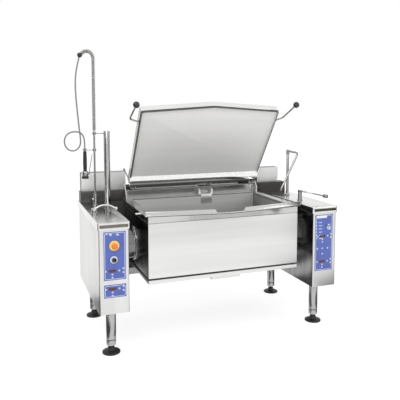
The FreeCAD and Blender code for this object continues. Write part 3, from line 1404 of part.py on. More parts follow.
def bend_radii(points):
    """The largest arcs that the runs allow: 0.45 of the shorter run over the half turn's tangent."""
    radii = []
    for before, corner, after in zip(points, points[1:], points[2:]):
        half_turn = (corner - before).getAngle(after - corner) / 2
        radii.append(0.45 * min((corner - before).Length, (after - corner).Length) / math.tan(half_turn))
    return radii


def hose_and_guard():
    """Spring guard, the ball that ends it, and the hose from there to the gun."""
    centre = vector(ferrule_x, spray_y, ferrule_level)
    points = guard_points()
    way = (centre - points[-1]).normalize()
    points.append(centre - way * 8)
    arch = [s.arch_radius.number] * (len(points) - 3)
    guard = bent_rod(points, arch + [20], s.guard_radius.number)
    route = hose_points()
    radii = bend_radii(route)
    print("hose radii", [round(radius) for radius in radii])
    hose = bent_rod(route, radii, s.hose_radius.number)
    print("hose length", round(bent_wire(route, radii).Length))
    shaped("spring_guard", guard)
    shaped("guard_ball", Part.makeSphere(s.ferrule_radius.number, centre).cut(guard).cut(hose))
    shaped("hose", hose)


def spray_gun():
    """Metal body with its collar and head, the grip round it, the face, and the trigger beside."""
    x, top, step = gun_x, gun_top, s.collar_height
    high = top - 2 * step
    low = high - s.grip_length
    grip, head, neck = s.grip_radius, s.head_radius, s.gun_neck
    body = turned([(neck, high), (neck, low), (grip * 0.9, low), (grip * 0.85, low + 30),
                   (grip, low + s.grip_length * 0.6), (grip * 0.95, high - 4), (grip * 0.75, high)])
    node("spray_grip", place(body, x, spray_y))
    face_top = low - s.head_length
    nose = turned([(0, top), (0, face_top), (head * 0.9, face_top), (head, face_top + 6), (head, low - 8),
                   (head * 0.8, low), (neck, low), (neck, top - step), (s.gun_collar, top - step),
                   (s.gun_collar, top)])
    ears = box((x + head * 0.8, spray_y - 6, low - 26), (x + s.trigger_offset + 4, spray_y - 4, low - 12))
    other = box((x + head * 0.8, spray_y + 4, low - 26), (x + s.trigger_offset + 4, spray_y + 6, low - 12))
    node("spray_body", fuse(place(nose, x, spray_y), ears, other))
    face_low = face_top - s.face_height
    face = turned([(0, face_top), (0, face_low + 3), (s.face_radius - 5, face_low), (s.face_radius, face_low),
                   (s.face_radius, face_top)])
    node("spray_face", place(face, x, spray_y))
    radius = s.trigger_radius.number
    points = [FreeCAD.Vector(0, 0, 0), FreeCAD.Vector(3, 0, 22),
              FreeCAD.Vector(s.trigger_lean.number, 0, s.trigger_length.number)]
    barrel = Part.makeCylinder(radius * 1.2, 7.4, FreeCAD.Vector(0, -3.7, 0), FreeCAD.Vector(0, 1, 0))
    shaped("spray_trigger", barrel.fuse(bent_rod(points, [radius * 4], radius)).removeSplitter(),
           x + s.trigger_offset, spray_y, low - 19)


# Levers and spout


def tap_body(x, height):
    """Round tap on the cover, with the pin that its lever turns on."""
    y, low = behind(s.lever_depth), s.work_height
    foot, radius, pin = s.tap_foot, s.tap_radius, s.lever_pin
    top = low + height
    body = turned([(0, low), (foot, low), (foot, low + 5), (radius, low + 9), (radius, top), (pin, top),
                   (pin, top + s.lever_thickness), (0, top + s.lever_thickness)])
    return place(body, x, y)


def lever_taps():
    left = tap_body(left_tap_x, s.left_tap_height)
    node("lever_taps", group(left, tap_body(right_tap_x, s.right_tap_height)))


def lever_hub():
    """The hub and the bore through it, over-long both ways."""
    thickness = s.lever_thickness.number
    hub = Part.makeCylinder(s.lever_hub.number, thickness)
    radius = (s.lever_pin + s.running_clearance).number
    return hub, Part.makeCylinder(radius, thickness * 5, vector(0, 0, -thickness * 2))


def left_lever():
    """Arched lever that lies across the console, ending in a small round knob."""
    hub, bore = lever_hub()
    reach, middle = s.left_lever_reach.number, s.lever_thickness.number / 2
    crest = middle + s.left_lever_rise.number
    points = [vector(4, 0, middle), vector(reach * 0.3, 0, crest), vector(reach * 0.68, 0, crest),
              vector(reach, 0, middle - 4)]
    arch = bent_rod(points, bend_radii(points), s.lever_rod.number)
    end = Part.makeSphere(s.lever_rod.number * 2, points[-1])
    shape = hub.fuse([arch, end]).cut(bore).removeSplitter()
    shaped("left_lever", shape, left_tap_x, behind(s.lever_depth), s.work_height + s.left_tap_height + 0.3)


def right_lever():
    """Tapered blade and rod, ending in a round grip, that points to the front corner."""
    hub, bore = lever_hub()
    blade_end, root, tip = s.right_blade.number, s.lever_hub.number * 0.95, s.lever_rod.number
    thickness = s.lever_thickness.number
    corners = [vector(0, -root, 0), vector(blade_end, -tip, 0), vector(blade_end, tip, 0), vector(0, root, 0)]
    blade = Part.Face(Part.makePolygon(corners + corners[:1])).extrude(FreeCAD.Vector(0, 0, thickness * 0.6))
    along = FreeCAD.Vector(1, 0, 0)
    middle = thickness * 0.3
    reach, grip = s.right_lever_reach.number, s.lever_grip_length.number
    start = vector(blade_end - 6, 0, middle)
    stem = Part.makeCylinder(s.lever_rod.number * 0.9, reach - blade_end, start, along)
    end = Part.makeCylinder(s.lever_grip.number, grip, vector(reach - grip / 2, 0, middle), along)
    arm = blade.fuse([stem, end])
    arm.rotate(FreeCAD.Vector(0, 0, 0), FreeCAD.Vector(0, 1, 0), s.right_lever_slope_angle.number)
    arm.translate(FreeCAD.Vector(0, 0, thickness * 0.2))
    shape = hub.fuse(arm).cut(bore).removeSplitter()
    level = s.work_height + s.right_tap_height + 0.3
    y = behind(s.lever_depth)
    shaped("right_lever", shape, right_tap_x, y, level, (0, 0, -1), s.right_lever_turn_angle)


def swivel_spout():
    """Column on the cover and the bent spout that turns on its spigot."""
    x, y = column_x, behind(s.column_depth)
    low, top = s.work_height, column_top
    pin_top = top + s.spout_socket - 6
    foot, radius, pin = s.column_foot, s.column_radius, s.column_pin
    column = turned([(0, low), (foot, low), (foot, low + 6), (radius + 2, low + 12), (radius, low + 18),
                     (radius, top), (pin, top), (pin, pin_top), (0, pin_top)])
    node("spout_column", place(column, x, y))
    socket = s.spout_socket.number
    cap = Part.makeCylinder(s.spout_cap.number, socket)
    bore = Part.makeCylinder((s.column_pin + s.running_clearance).number, socket - 5.5, vector(0, 0, -0.5))
    level = socket - s.spout_radius.number - 2
    fall = (s.spout_end_rise - s.column_height).number
    out, near = s.spout_end_x, -s.spout_turn_y
    points = [vector(2, -9, level), vector(s.spout_turn_x, near, level - 9), vector(12 - out, near, fall + 26),
              vector(-out, near, fall)]
    tube = bent_rod(points, [s.spout_bend.number * 1.3, s.spout_bend.number * 2], s.spout_radius.number)
    shape = cap.fuse(tube).cut(bore).removeSplitter()
    shaped("swivel_spout", shape, x, y, top + 0.3)


def build():
    console_casing("left_casing", -1, panel_holes_left(1))
    console_casing("right_casing", 1, panel_holes_right(1))
    console_cover("left_cover", -1)
    console_cover("right_cover", 1)
    cover_strips()
    console_frames()
    legs_and_feet()
    bearings()
    tilting_drive()
    control_box()
    node("trunnions", group(trunnion(-1, bearing_far + s.gearbox_gap / 2, gearbox_far + s.gearbox_gap),
                            trunnion(1, bearing_far + s.gearbox_gap)))
    vessel()
    rim_frame()
    pan_casing()
    bottom_cover()
    cradle()
    heating()
    hinge_on_pan()
    catch_lever()
    lid_shell()
    lid_liner()
    lid_seal()
    lid_hinges()
    lid_handles()
    rear_beam()
    rear_boxes()
    rear_panel()
    control_panels()
    displays_and_keys()
    emergency_stop()
    knob("tilt_selector", selector_x, selector_level)
    knob("panel_dial", dial_x, dial_level)
    spray_column()
    riser_clamps()
    hose_and_guard()
    spray_gun()
    left_lever()
    lever_taps()
    right_lever()
    swivel_spout()


def check_and_write():
    """Stop on any failed object or bad shape, then write one file for each sub-part."""
    doc.recompute()
    problems = ["%s (%s)" % (thing.Name, thing.Label) for thing in doc.Objects
                if "Invalid" in thing.State or "Error" in thing.State]
    for name, thing in parts.items():
        if thing.Shape.isNull() or not thing.Shape.isValid() or not thing.Shape.Solids:
            problems.append("%s has no valid solid" % name)
    if problems:
        raise RuntimeError("; ".join(problems))
    for name, thing in parts.items():
        thing.Shape.exportStep("parts/%s.step" % name)
    print(len(parts), "sub-parts written")


build()
check_and_write()
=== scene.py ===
"""The finish of a tilting bratt pan, laid out as an add-on and run as a script.

The packed model is the frame. Every piece made here rides on one of its bodies, and each
operator makes one piece or one group of like pieces. All lengths are in metres.
"""

import bmesh
import bpy
import json
import math

from bpy.props import FloatProperty, FloatVectorProperty, IntProperty, PointerProperty
from mathutils import Matrix, Vector


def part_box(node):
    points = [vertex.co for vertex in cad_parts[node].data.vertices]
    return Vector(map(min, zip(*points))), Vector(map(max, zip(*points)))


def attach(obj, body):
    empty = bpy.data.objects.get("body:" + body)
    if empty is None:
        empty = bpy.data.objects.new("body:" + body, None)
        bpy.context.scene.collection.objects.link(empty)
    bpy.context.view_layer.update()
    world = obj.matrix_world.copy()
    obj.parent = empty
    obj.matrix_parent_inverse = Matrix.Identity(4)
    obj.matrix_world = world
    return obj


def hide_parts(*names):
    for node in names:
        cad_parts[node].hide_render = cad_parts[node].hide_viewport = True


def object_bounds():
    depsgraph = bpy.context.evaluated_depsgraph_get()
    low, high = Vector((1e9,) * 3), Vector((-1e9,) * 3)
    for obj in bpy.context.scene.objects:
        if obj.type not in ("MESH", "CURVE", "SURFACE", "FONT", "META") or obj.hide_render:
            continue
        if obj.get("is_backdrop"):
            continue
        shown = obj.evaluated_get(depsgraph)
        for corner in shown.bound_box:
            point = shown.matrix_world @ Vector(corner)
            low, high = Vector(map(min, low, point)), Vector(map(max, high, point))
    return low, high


bl_info = {
    "name": "Bratt pan finish",
    "version": (1, 0, 0),
    "blender": (4, 5, 0),
    "location": "View3D > Sidebar > Bratt pan",
    "description": "Materials, fine pieces and studio for a tilting bratt pan",
    "category": "Object",
}

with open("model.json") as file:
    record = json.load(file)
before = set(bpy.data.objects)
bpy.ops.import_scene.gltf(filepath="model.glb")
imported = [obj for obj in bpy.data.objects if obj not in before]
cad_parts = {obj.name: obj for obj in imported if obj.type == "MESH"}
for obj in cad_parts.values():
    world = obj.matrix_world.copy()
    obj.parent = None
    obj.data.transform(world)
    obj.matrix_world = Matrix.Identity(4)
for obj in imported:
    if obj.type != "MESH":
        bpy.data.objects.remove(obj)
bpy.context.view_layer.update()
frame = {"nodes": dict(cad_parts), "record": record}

MERGE = 0.00002
FLAT_ANGLE = math.radians(0.6)
EDGE_ANGLE = math.radians(32)
FULL_TURN = 2 * math.pi

# The camera stands where the photograph was taken from
CAMERA_PLACE = Vector((-1.42784, -3.7119, 1.62605))
CAMERA_TURN = math.radians(20.418)
CAMERA_DIP = math.radians(4.725)
CAMERA_LENS = 48.596
CAMERA_SHIFT = -0.1233


def colour_property(name, description, default):
    return FloatVectorProperty(name=name, description=description, subtype="COLOR", default=default, min=0, max=1)


def length_property(name, description, default, least):
    return FloatProperty(name=name, description=description, default=default, min=least, unit="LENGTH")


class SteelSettings(bpy.types.PropertyGroup):
    """Finish of the stainless steel sheets."""
    tint: colour_property("Sheet", "Colour of the brushed sheets", (0.74, 0.74, 0.73))
    lid_tint: colour_property("Lid liner", "Colour of the lid's inner side", (0.93, 0.925, 0.905))
    # The well's colour is darker than the outer sheets: painted shade inside the well.
    well_painted_shade_tint: colour_property("Well", "Colour inside the well", (0.36, 0.36, 0.35))
    roughness: FloatProperty(name="Roughness", description="Roughness of the brushed sheets", default=0.34, min=0,
                             max=1)
    grain: length_property("Grain", "Distance between brush lines", 0.0011, 0.0002)
    rolled_edge: length_property("Rolled edge", "Radius on the edges of the sheets", 0.0009, 0)


class PanelSettings(bpy.types.PropertyGroup):
    """Colours of the control panels."""
    foil: colour_property("Foil", "Colour of the printed foil", (0.085, 0.130, 0.440))
    border: colour_property("Border", "Colour of the foil's border and print", (0.80, 0.84, 0.93))
    display: colour_property("Display", "Colour of the display windows", (0.055, 0.004, 0.007))
    ring: colour_property("Stop ring", "Colour of the ring round the stop", (0.93, 0.66, 0.16))
    stop: colour_property("Stop", "Colour of the stop's head", (0.88, 0.20, 0.015))


class SpraySettings(bpy.types.PropertyGroup):
    """Sizes of the spray's spring and hose."""
    wire: length_property("Wire", "Thickness of the spring's wire", 0.0036, 0.001)
    pitch: length_property("Pitch", "Distance between turns of the straight spring", 0.0125, 0.003)
    arch_pitch: length_property("Arch pitch", "Distance between turns over the arch", 0.0056, 0.003)
    spring: length_property("Spring", "Outer radius of the spring", 0.0155, 0.008)
    hose: length_property("Hose", "Thickness of the hose", 0.011, 0.004)
    grip_ribs: IntProperty(name="Grip ribs", description="Ribs round the grip", default=16, min=0)


class StudioSettings(bpy.types.PropertyGroup):
    """Light of the studio."""
    fill: FloatProperty(name="Fill", description="Evenly spread light", default=0.8, min=0)
    lamp: FloatProperty(name="Lamp", description="Power of the lamp above the camera", default=60, min=0,
                        subtype="POWER")
    card: FloatProperty(name="Cards", description="Brightness of the dark cards seen in polished metal",
                        default=0.10, min=0)


# Name, place, size and share of the power of each lamp
LAMPS = [("key_lamp", (-2.2, -3.0, 3.6), 2.4, 1.0), ("side_lamp", (3.2, -2.4, 2.6), 2.0, 0.5)]

# Name, middle, size and facing direction of each dark card
CARDS = [("card_left", (-1.95, -0.55, 1.1), (1.5, 2.0), (1, 0, 0)),
         ("card_right", (1.95, -0.55, 1.1), (1.5, 2.0), (-1, 0, 0)),
         ("card_behind", (0.0, 0.80, 0.42), (1.3, 0.80), (0, -1, 0)),
         ("card_floor_left", (-1.45, -0.10, 0.004), (1.02, 1.5), (0, 0, 1)),
         ("card_floor_middle", (0.0, 0.0, 0.004), (1.16, 0.8), (0, 0, 1)),
         ("card_floor_right", (1.45, -0.10, 0.004), (1.02, 1.5), (0, 0, 1))]


SETTINGS = {"bratt_steel": SteelSettings, "bratt_panel": PanelSettings, "bratt_spray": SpraySettings,
            "bratt_studio": StudioSettings}


def settings(name):
    return getattr(bpy.context.scene, "bratt_" + name)


# Node trees

def new_material(name):
    """An empty material with its output node, and a function that adds and sets nodes."""
    material = bpy.data.materials.new(name)
    material.use_nodes = True
    tree = material.node_tree
    tree.nodes.clear()
    output = tree.nodes.new("ShaderNodeOutputMaterial")

    def add(kind, inputs=(), **fields):
        node = tree.nodes.new("ShaderNode" + kind)
        for field, value in fields.items():
            setattr(node, field, value)
        for socket, value in dict(inputs).items():
            if isinstance(value, bpy.types.NodeSocket):
                tree.links.new(value, node.inputs[socket])
            else:
                node.inputs[socket].default_value = value
        return node

    return material, add, lambda shader: tree.links.new(shader.outputs[0], output.inputs["Surface"])


def opaque(colour):
    return (*colour, 1.0)


def noise(add, place, scale, detail=2.0, rough=0.5):
    return add("TexNoise", {"Vector": place, "Scale": scale, "Detail": detail, "Roughness": rough}).outputs["Fac"]


def spread(add, value, low, high, to_low, to_high):
    """A value stretched from one range to another."""
    return add("MapRange", {"Value": value, "From Min": low, "From Max": high, "To Min": to_low,
                            "To Max": to_high}).outputs["Result"]


def mix_colours(add, value, one, other):
    """Mix node for two colours, whose colour sockets come after those for numbers."""
    node = add("Mix", {}, data_type="RGBA")
    tree = node.id_data
    factor, first, second = node.inputs[0], node.inputs[6], node.inputs[7]
    for socket, wanted in ((factor, value), (first, one), (second, other)):
        if isinstance(wanted, bpy.types.NodeSocket):
            tree.links.new(wanted, socket)
        elif isinstance(wanted, (int, float)):
            socket.default_value = wanted
        else:
            socket.default_value = opaque(wanted)
    return node.outputs[2]


def shades(colour, change):
    """A darker and a lighter shade of a colour."""
    return [channel * (1 - change) for channel in colour], [min(1, channel * (1 + change)) for channel in colour]


def mottled(add, value, low, high, tint, change):
    """A colour that runs between two shades of a tint as a value goes from low to high."""
    return mix_colours(add, spread(add, value, low, high, 0, 1), *shades(tint, change))


def bumped(add, strength, distance, height):
    return add("Bump", {"Strength": strength, "Distance": distance, "Height": height}).outputs["Normal"]


def object_place(add, stretch=(1, 1, 1)):
    place = add("TexCoord").outputs["Object"]
    return add("Mapping", {"Vector": place, "Scale": stretch}).outputs["Vector"]


def brushed_steel(name, tint, roughness, along="X", depth=0.05, cloudiness=0.05, smudges=0.05, metal=1.0):
    """Stainless sheet: fine brush lines along one way, broad faint streaks and soft smudges."""
    steel = settings("steel")
    material, add, finish = new_material(name)
    fine, coarse = 1 / steel.grain, 14
    runs = {"X": (3, fine, fine), "Y": (fine, 3, fine), "Z": (fine, fine, 3), "ROUND": (3, 3, fine)}[along]
    streaks = {"X": (0.6, coarse, coarse), "Y": (coarse, 0.6, coarse), "Z": (coarse, coarse, 0.6),
               "ROUND": (1, 1, coarse)}[along]
    lines = noise(add, object_place(add, runs), 1.0, 3.0, 0.6)
    bands = noise(add, object_place(add, streaks), 1.0, 2.0)
    clouds = noise(add, object_place(add), 2.2, 3.0)
    colour = mottled(add, bands, 0.3, 0.7, tint, cloudiness)
    colour = mix_colours(add, spread(add, lines, 0.35, 0.65, 0.0, 0.16), colour, shades(tint, 0.30)[0])
    rough = spread(add, clouds, 0.3, 0.7, roughness - smudges, roughness + smudges)
    rough = add("Math", {0: rough, 1: spread(add, lines, 0.3, 0.7, -0.03, 0.03)}, operation="ADD").outputs[0]
    normal = bumped(add, depth, 0.0004, lines)
    shader = add("BsdfPrincipled", {"Base Color": colour, "Metallic": metal, "Roughness": rough,
                                    "Normal": normal})
    finish(shader)
    return material


def polished(name, tint, roughness=0.14):
    """Bright plated or polished metal with faint water marks."""
    material, add, finish = new_material(name)
    marks = noise(add, object_place(add), 60, 4.0, 0.6)
    colour = mottled(add, marks, 0.35, 0.65, tint, 0.06)
    rough = spread(add, marks, 0.3, 0.7, roughness * 0.7, roughness * 1.5)
    finish(add("BsdfPrincipled", {"Base Color": colour, "Metallic": 1.0, "Roughness": rough}))
    return material


def moulded(name, tint, roughness=0.42, grain=900, depth=0.12, change=0.10):
    """Moulded plastic or rubber with a fine grain and slightly worn colour."""
    material, add, finish = new_material(name)
    place = object_place(add)
    fine = noise(add, place, grain, 2.0)
    wear = noise(add, place, 24, 4.0, 0.6)
    colour = mottled(add, wear, 0.3, 0.7, tint, change)
    rough = spread(add, wear, 0.3, 0.7, roughness * 0.85, roughness * 1.15)
    normal = bumped(add, depth, 0.0003, fine)
    finish(add("BsdfPrincipled", {"Base Color": colour, "Roughness": rough, "Normal": normal}))
    return material


def painted(name, tint, roughness=0.4, peel=260):
    """Painted metal with orange peel and a thin clear coat."""
    material, add, finish = new_material(name)
    place = object_place(add)
    skin = noise(add, place, peel, 2.0)
    dirt = noise(add, place, 9, 4.0, 0.6)
    colour = mottled(add, dirt, 0.3, 0.7, tint, 0.09)
    rough = spread(add, dirt, 0.3, 0.7, roughness * 0.85, roughness * 1.2)
    normal = bumped(add, 0.10, 0.0005, skin)
    finish(add("BsdfPrincipled", {"Base Color": colour, "Roughness": rough, "Normal": normal,
                                  "Coat Weight": 0.25, "Coat Roughness": 0.2}))
    return material


def cast_metal(name, tint):
    """Cast housing with a coarse painted skin."""
    material, add, finish = new_material(name)
    place = object_place(add)
    skin = noise(add, place, 420, 5.0, 0.7)
    patches = noise(add, place, 18, 3.0)
    colour = mottled(add, patches, 0.3, 0.7, tint, 0.18)
    normal = bumped(add, 0.45, 0.001, skin)
    finish(add("BsdfPrincipled", {"Base Color": colour, "Metallic": 0.35, "Roughness": 0.58,
                                  "Normal": normal}))
    return material


def mineral_wool(name, tint):
    """Matted fibres of the insulation."""
    material, add, finish = new_material(name)
    fibres = noise(add, object_place(add, (40, 260, 260)), 1.0, 6.0, 0.75)
    colour = mottled(add, fibres, 0.35, 0.65, tint, 0.3)
    normal = bumped(add, 0.8, 0.004, fibres)
    finish(add("BsdfPrincipled", {"Base Color": colour, "Roughness": 0.95, "Sheen Weight": 0.25,
                                  "Normal": normal}))
    return material


def printed_foil(name, tint):
    """Satin foil: even colour with a fine mottle under a thin clear layer."""
    material, add, finish = new_material(name)
    place = object_place(add)
    mottle = noise(add, place, 340, 3.0)
    sag = noise(add, place, 14, 2.0)
    colour = mottled(add, sag, 0.3, 0.7, tint, 0.07)
    normal = bumped(add, 0.05, 0.0003, mottle)
    finish(add("BsdfPrincipled", {"Base Color": colour, "Roughness": 0.38, "Normal": normal,
                                  "Coat Weight": 0.35, "Coat Roughness": 0.25}))
    return material


def glossy(name, tint, roughness=0.16):
    """Smooth moulded plastic with small scratches."""
    material, add, finish = new_material(name)
    scratches = noise(add, object_place(add, (30, 900, 30)), 1.0, 4.0, 0.7)
    colour = mottled(add, scratches, 0.3, 0.7, tint, 0.06)
    rough = spread(add, scratches, 0.35, 0.7, roughness, roughness + 0.10)
    finish(add("BsdfPrincipled", {"Base Color": colour, "Roughness": rough, "Coat Weight": 0.4,
                                  "Coat Roughness": 0.08}))
    return material


def lit_window(name, tint):
    """Dark display window with a faint glow of its own."""
    material, add, finish = new_material(name)
    glow = noise(add, object_place(add), 120, 2.0)
    colour = mix_colours(add, spread(add, glow, 0.3, 0.7, 0, 1), *shades(tint, 0.25))
    finish(add("BsdfPrincipled", {"Base Color": colour, "Roughness": 0.12, "Emission Color": opaque(tint),
                                  "Emission Strength": 0.35, "Coat Weight": 0.6, "Coat Roughness": 0.05}))
    return material


MATERIALS = {}


def make_materials():
    """Every finish of the object, by a plain name."""
    steel, panel = settings("steel"), settings("panel")
    tint, rough = tuple(steel.tint), steel.roughness
    MATERIALS.update({
        "sheet_x": brushed_steel("sheet_brushed_across", tint, rough, "X"),
        "sheet_y": brushed_steel("sheet_brushed_deep", tint, rough, "Y"),
        "sheet_z": brushed_steel("sheet_brushed_upright", tint, rough, "Z"),
        "cover": brushed_steel("cover_sheet", tint, 0.20, "Y", cloudiness=0.08),
        "rim": brushed_steel("rim_sheet", [c * 0.80 for c in tint], rough - 0.10, "X"),
        # The turned steel is dark as painted shade, and its lighter copy on bevelled edges is a painted highlight.
        "round": brushed_steel("turned_steel_painted_shade", (0.20, 0.20, 0.20), 0.15, "ROUND"),
        "round_painted_highlight": brushed_steel("turned_edge_painted_highlight", (0.80, 0.80, 0.79), 0.2, "ROUND"),
        # Darker copy of the sheet steel, laid on faces in gaps and bays: painted shade.
        "shade": brushed_steel("bay_painted_shade_sheet", (0.30, 0.30, 0.30), 0.22, "Z", cloudiness=0.15),
        # Darker grey copy of the sheet steel: painted shade.
        "grey_painted_shade": brushed_steel("grey_painted_shade_sheet", (0.50, 0.50, 0.49), 0.26, "X"),
        "leg": brushed_steel("leg_tube", [c * 0.62 for c in tint], 0.24, "ROUND"),
        "lid": brushed_steel("lid_cover_sheet", [c * 1.12 for c in tint], rough - 0.08, "X"),
        "roll": polished("bright_roll", (0.90, 0.90, 0.89), 0.10),
        "liner": brushed_steel("lid_liner_sheet", tuple(steel.lid_tint), 0.55, "X", cloudiness=0.02, metal=0.25),
        # Dark rubber of the lid's seal, also used for dark lines that are painted shadow.
        "lip": moulded("grey_lip_rubber_and_painted_shadow", (0.07, 0.07, 0.07), 0.5),
        # Darker than the outer sheets: painted shade inside the well.
        "well": brushed_steel("well_painted_shade_sheet", tuple(steel.well_painted_shade_tint), 0.42, "X", cloudiness=0.08),
        "inner_steel": brushed_steel("inner_steel", (0.45, 0.46, 0.47), 0.45, "Y"),
        # The dark tints of the plated and ground parts stand in for dark surroundings seen in them: painted
        # reflection.
        "chrome": polished("chrome_plate_painted_dark_reflection", (0.36, 0.36, 0.36)),
        "shaft": polished("ground_shaft_painted_dark_reflection", (0.22, 0.22, 0.22), 0.2),
        "pole": polished("pole_tube", (0.46, 0.46, 0.45), 0.2),
        "spring": polished("spring_wire", (0.62, 0.62, 0.61), 0.2),
        # Dark paint of the rear beam, also laid on the rear panel as painted shade.
        "beam": painted("dark_beam_paint_and_painted_shade", (0.035, 0.033, 0.030), 0.45),
        "box": brushed_steel("box_sheet", (0.86, 0.86, 0.85), 0.45, "X", metal=0.3),
        # Dark grey copy of the box's steel: painted shade.
        "box_painted_shade": brushed_steel("box_painted_shade_sheet", (0.13, 0.13, 0.13), 0.35, "X"),
        # Black plastic of the strips, also laid in the bottom cover's groove as painted shadow; its lighter copy is
        # painted light.
        "strip": moulded("black_strip_and_painted_shadow", (0.035, 0.028, 0.024)),
        "strip_painted_light": moulded("pale_strip_painted_light", (0.15, 0.135, 0.12)),
        "rubber": moulded("black_rubber", (0.016, 0.016, 0.016), 0.5, grain=1400),
        "ball": glossy("black_ball", (0.010, 0.010, 0.011)),
        "foil": printed_foil("blue_foil", tuple(panel.foil)),
        "print": printed_foil("white_print", tuple(panel.border)),
        "key": moulded("pale_key", (0.50, 0.58, 0.82), 0.45),
        "mark": moulded("pale_green_print", (0.62, 0.68, 0.20), 0.45),
        "display": lit_window("display_window", tuple(panel.display)),
        "ring": glossy("stop_ring_plastic", tuple(panel.ring), 0.25),
        "stop": glossy("stop_plastic", tuple(panel.stop), 0.25),
        "knob": glossy("dark_knob", (0.020, 0.021, 0.026), 0.25),
        "hose": moulded("hose_cover", (0.24, 0.24, 0.235), 0.45, grain=600),
        "cast": cast_metal("cast_housing", (0.15, 0.16, 0.18)),
        "motor": painted("motor_paint", (0.06, 0.08, 0.11), 0.45),
        "box_plastic": moulded("enclosure_plastic", (0.50, 0.51, 0.52)),
        "wool": mineral_wool("mineral_wool", (0.55, 0.48, 0.24)),
        "element": painted("heating_element", (0.07, 0.06, 0.06), 0.6),
    })


# Meshes

def link(name, mesh):
    thing = bpy.data.objects.new(name, mesh)
    bpy.context.scene.collection.objects.link(thing)
    return thing


def smooth(thing, angle=EDGE_ANGLE):
    """Smooth shading that stops at edges sharper than an angle."""
    thing.data.shade_smooth()
    thing.data.set_sharp_from_angle(angle=angle)


def dress(thing, material, body, nodes=()):
    """Give a piece its material and the body that it rides on, and hide what it stands for."""
    thing.data.materials.clear()
    thing.data.materials.append(MATERIALS[material])
    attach(thing, body)
    if nodes:
        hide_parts(*nodes)
    return thing


def paint(material, *nodes):
    """Give CAD nodes that are shown as they are a material."""
    for name in nodes:
        data = frame["nodes"][name].data
        data.materials.clear()
        data.materials.append(MATERIALS[material])


def face_finish(thing, material, wanted):
    """Give the faces of a piece that a test picks by middle and normal another material."""
    thing.data.materials.append(MATERIALS[material])
    index = len(thing.data.materials) - 1
    for face in thing.data.polygons:
        if wanted(face.center, face.normal):
            face.material_index = index
    return thing


def body_of(node):
    return next(body for body, nodes in frame["record"]["behaviour"]["bodies"].items() if node in nodes)


def seat(thing, material, node, replaces=True):
    """Dress a piece that rides where a node does, and that stands for the node unless told otherwise."""
    return dress(thing, material, body_of(node), [node] if replaces else ())


def applied(thing):
    """The piece with its modifiers worked into its mesh."""
    evaluated = thing.evaluated_get(bpy.context.evaluated_depsgraph_get())
    mesh = bpy.data.meshes.new_from_object(evaluated)
    thing.modifiers.clear()
    thing.data = mesh
    return thing


def rolled(node, material, radius=None, segments=2):
    """A copy of a CAD node with its sharp edges rolled, which stands for that node."""
    source = frame["nodes"][node]
    form = bmesh.new()
    form.from_mesh(source.data)
    bmesh.ops.remove_doubles(form, verts=form.verts, dist=MERGE)
    bmesh.ops.dissolve_limit(form, angle_limit=FLAT_ANGLE, verts=form.verts, edges=form.edges)
    mesh = bpy.data.meshes.new(node + "_rolled")
    form.to_mesh(mesh)
    form.free()
    thing = link(node + "_rolled", mesh)
    bevel = thing.modifiers.new("rolled edges", "BEVEL")
    bevel.width = settings("steel").rolled_edge if radius is None else radius
    bevel.segments = segments
    bevel.limit_method = "ANGLE"
    bevel.angle_limit = EDGE_ANGLE
    bevel.use_clamp_overlap = False
    applied(thing)
    smooth(thing)
    return seat(thing, material, node)


def from_form(name, form):
    mesh = bpy.data.meshes.new(name)
    bmesh.ops.recalc_face_normals(form, faces=form.faces)
    form.to_mesh(mesh)
    form.free()
    return link(name, mesh)


def turned(name, profile, place, axis=(0, 0, 1), steps=48):
    """A closed form turned from (radius, height) corners about an axis through a place."""
    form = bmesh.new()
    rings = []
    for radius, height in profile:
        if radius < 1e-6:
            rings.append([form.verts.new((0, 0, height))])
            continue
        rings.append([form.verts.new((radius * math.cos(FULL_TURN * step / steps),
                                      radius * math.sin(FULL_TURN * step / steps), height)) for step in range(steps)])
    for low, high in zip(rings, rings[1:]):
        for step in range(steps):
            after = (step + 1) % steps
            corners = [low[step % len(low)], low[after % len(low)], high[after % len(high)], high[step % len(high)]]
            face = list(dict.fromkeys(corners))
            if len(face) > 2:
                form.faces.new(face)
    turn = Vector((0, 0, 1)).rotation_difference(Vector(axis)).to_matrix().to_4x4()
    form.transform(Matrix.Translation(place) @ turn)
    thing = from_form(name, form)
    smooth(thing)
    return thing


def rounded_profile(corners, radius, steps=4):
    """The corners of an open profile with each inner one rounded."""
    points = [Vector(corners[0])]
    for before, corner, after in zip(corners, corners[1:], corners[2:]):
        before, corner, after = Vector(before), Vector(corner), Vector(after)
        reach = min(radius, (corner - before).length * 0.45, (after - corner).length * 0.45)
        start = corner + (before - corner).normalized() * reach
        end = corner + (after - corner).normalized() * reach
        for step in range(steps + 1):
            share = step / steps
            points.append(start.lerp(corner, share).lerp(corner.lerp(end, share), share))
    points.append(Vector(corners[-1]))
    return points


def plate(name, outline, start, end):
    """A flat form from an (x, z) outline, between two places along Y."""
    form = bmesh.new()
    near = [form.verts.new((x, start, z)) for x, z in outline]
    far = [form.verts.new((x, end, z)) for x, z in outline]
    form.faces.new(near)
    form.faces.new(far[::-1])
    for index in range(len(outline)):
        after = (index + 1) % len(outline)
        form.faces.new((near[index], far[index], far[after], near[after]))
    return from_form(name, form)


def joined(name, things):
    """Several pieces in one mesh."""
    form = bmesh.new()
    for thing in things:
        mesh = thing.data.copy()
        mesh.transform(thing.matrix_basis)
        form.from_mesh(mesh)
        bpy.data.meshes.remove(mesh)
        bpy.data.objects.remove(thing)
    mesh = bpy.data.meshes.new(name)
    form.to_mesh(mesh)
    form.free()
    return link(name, mesh)


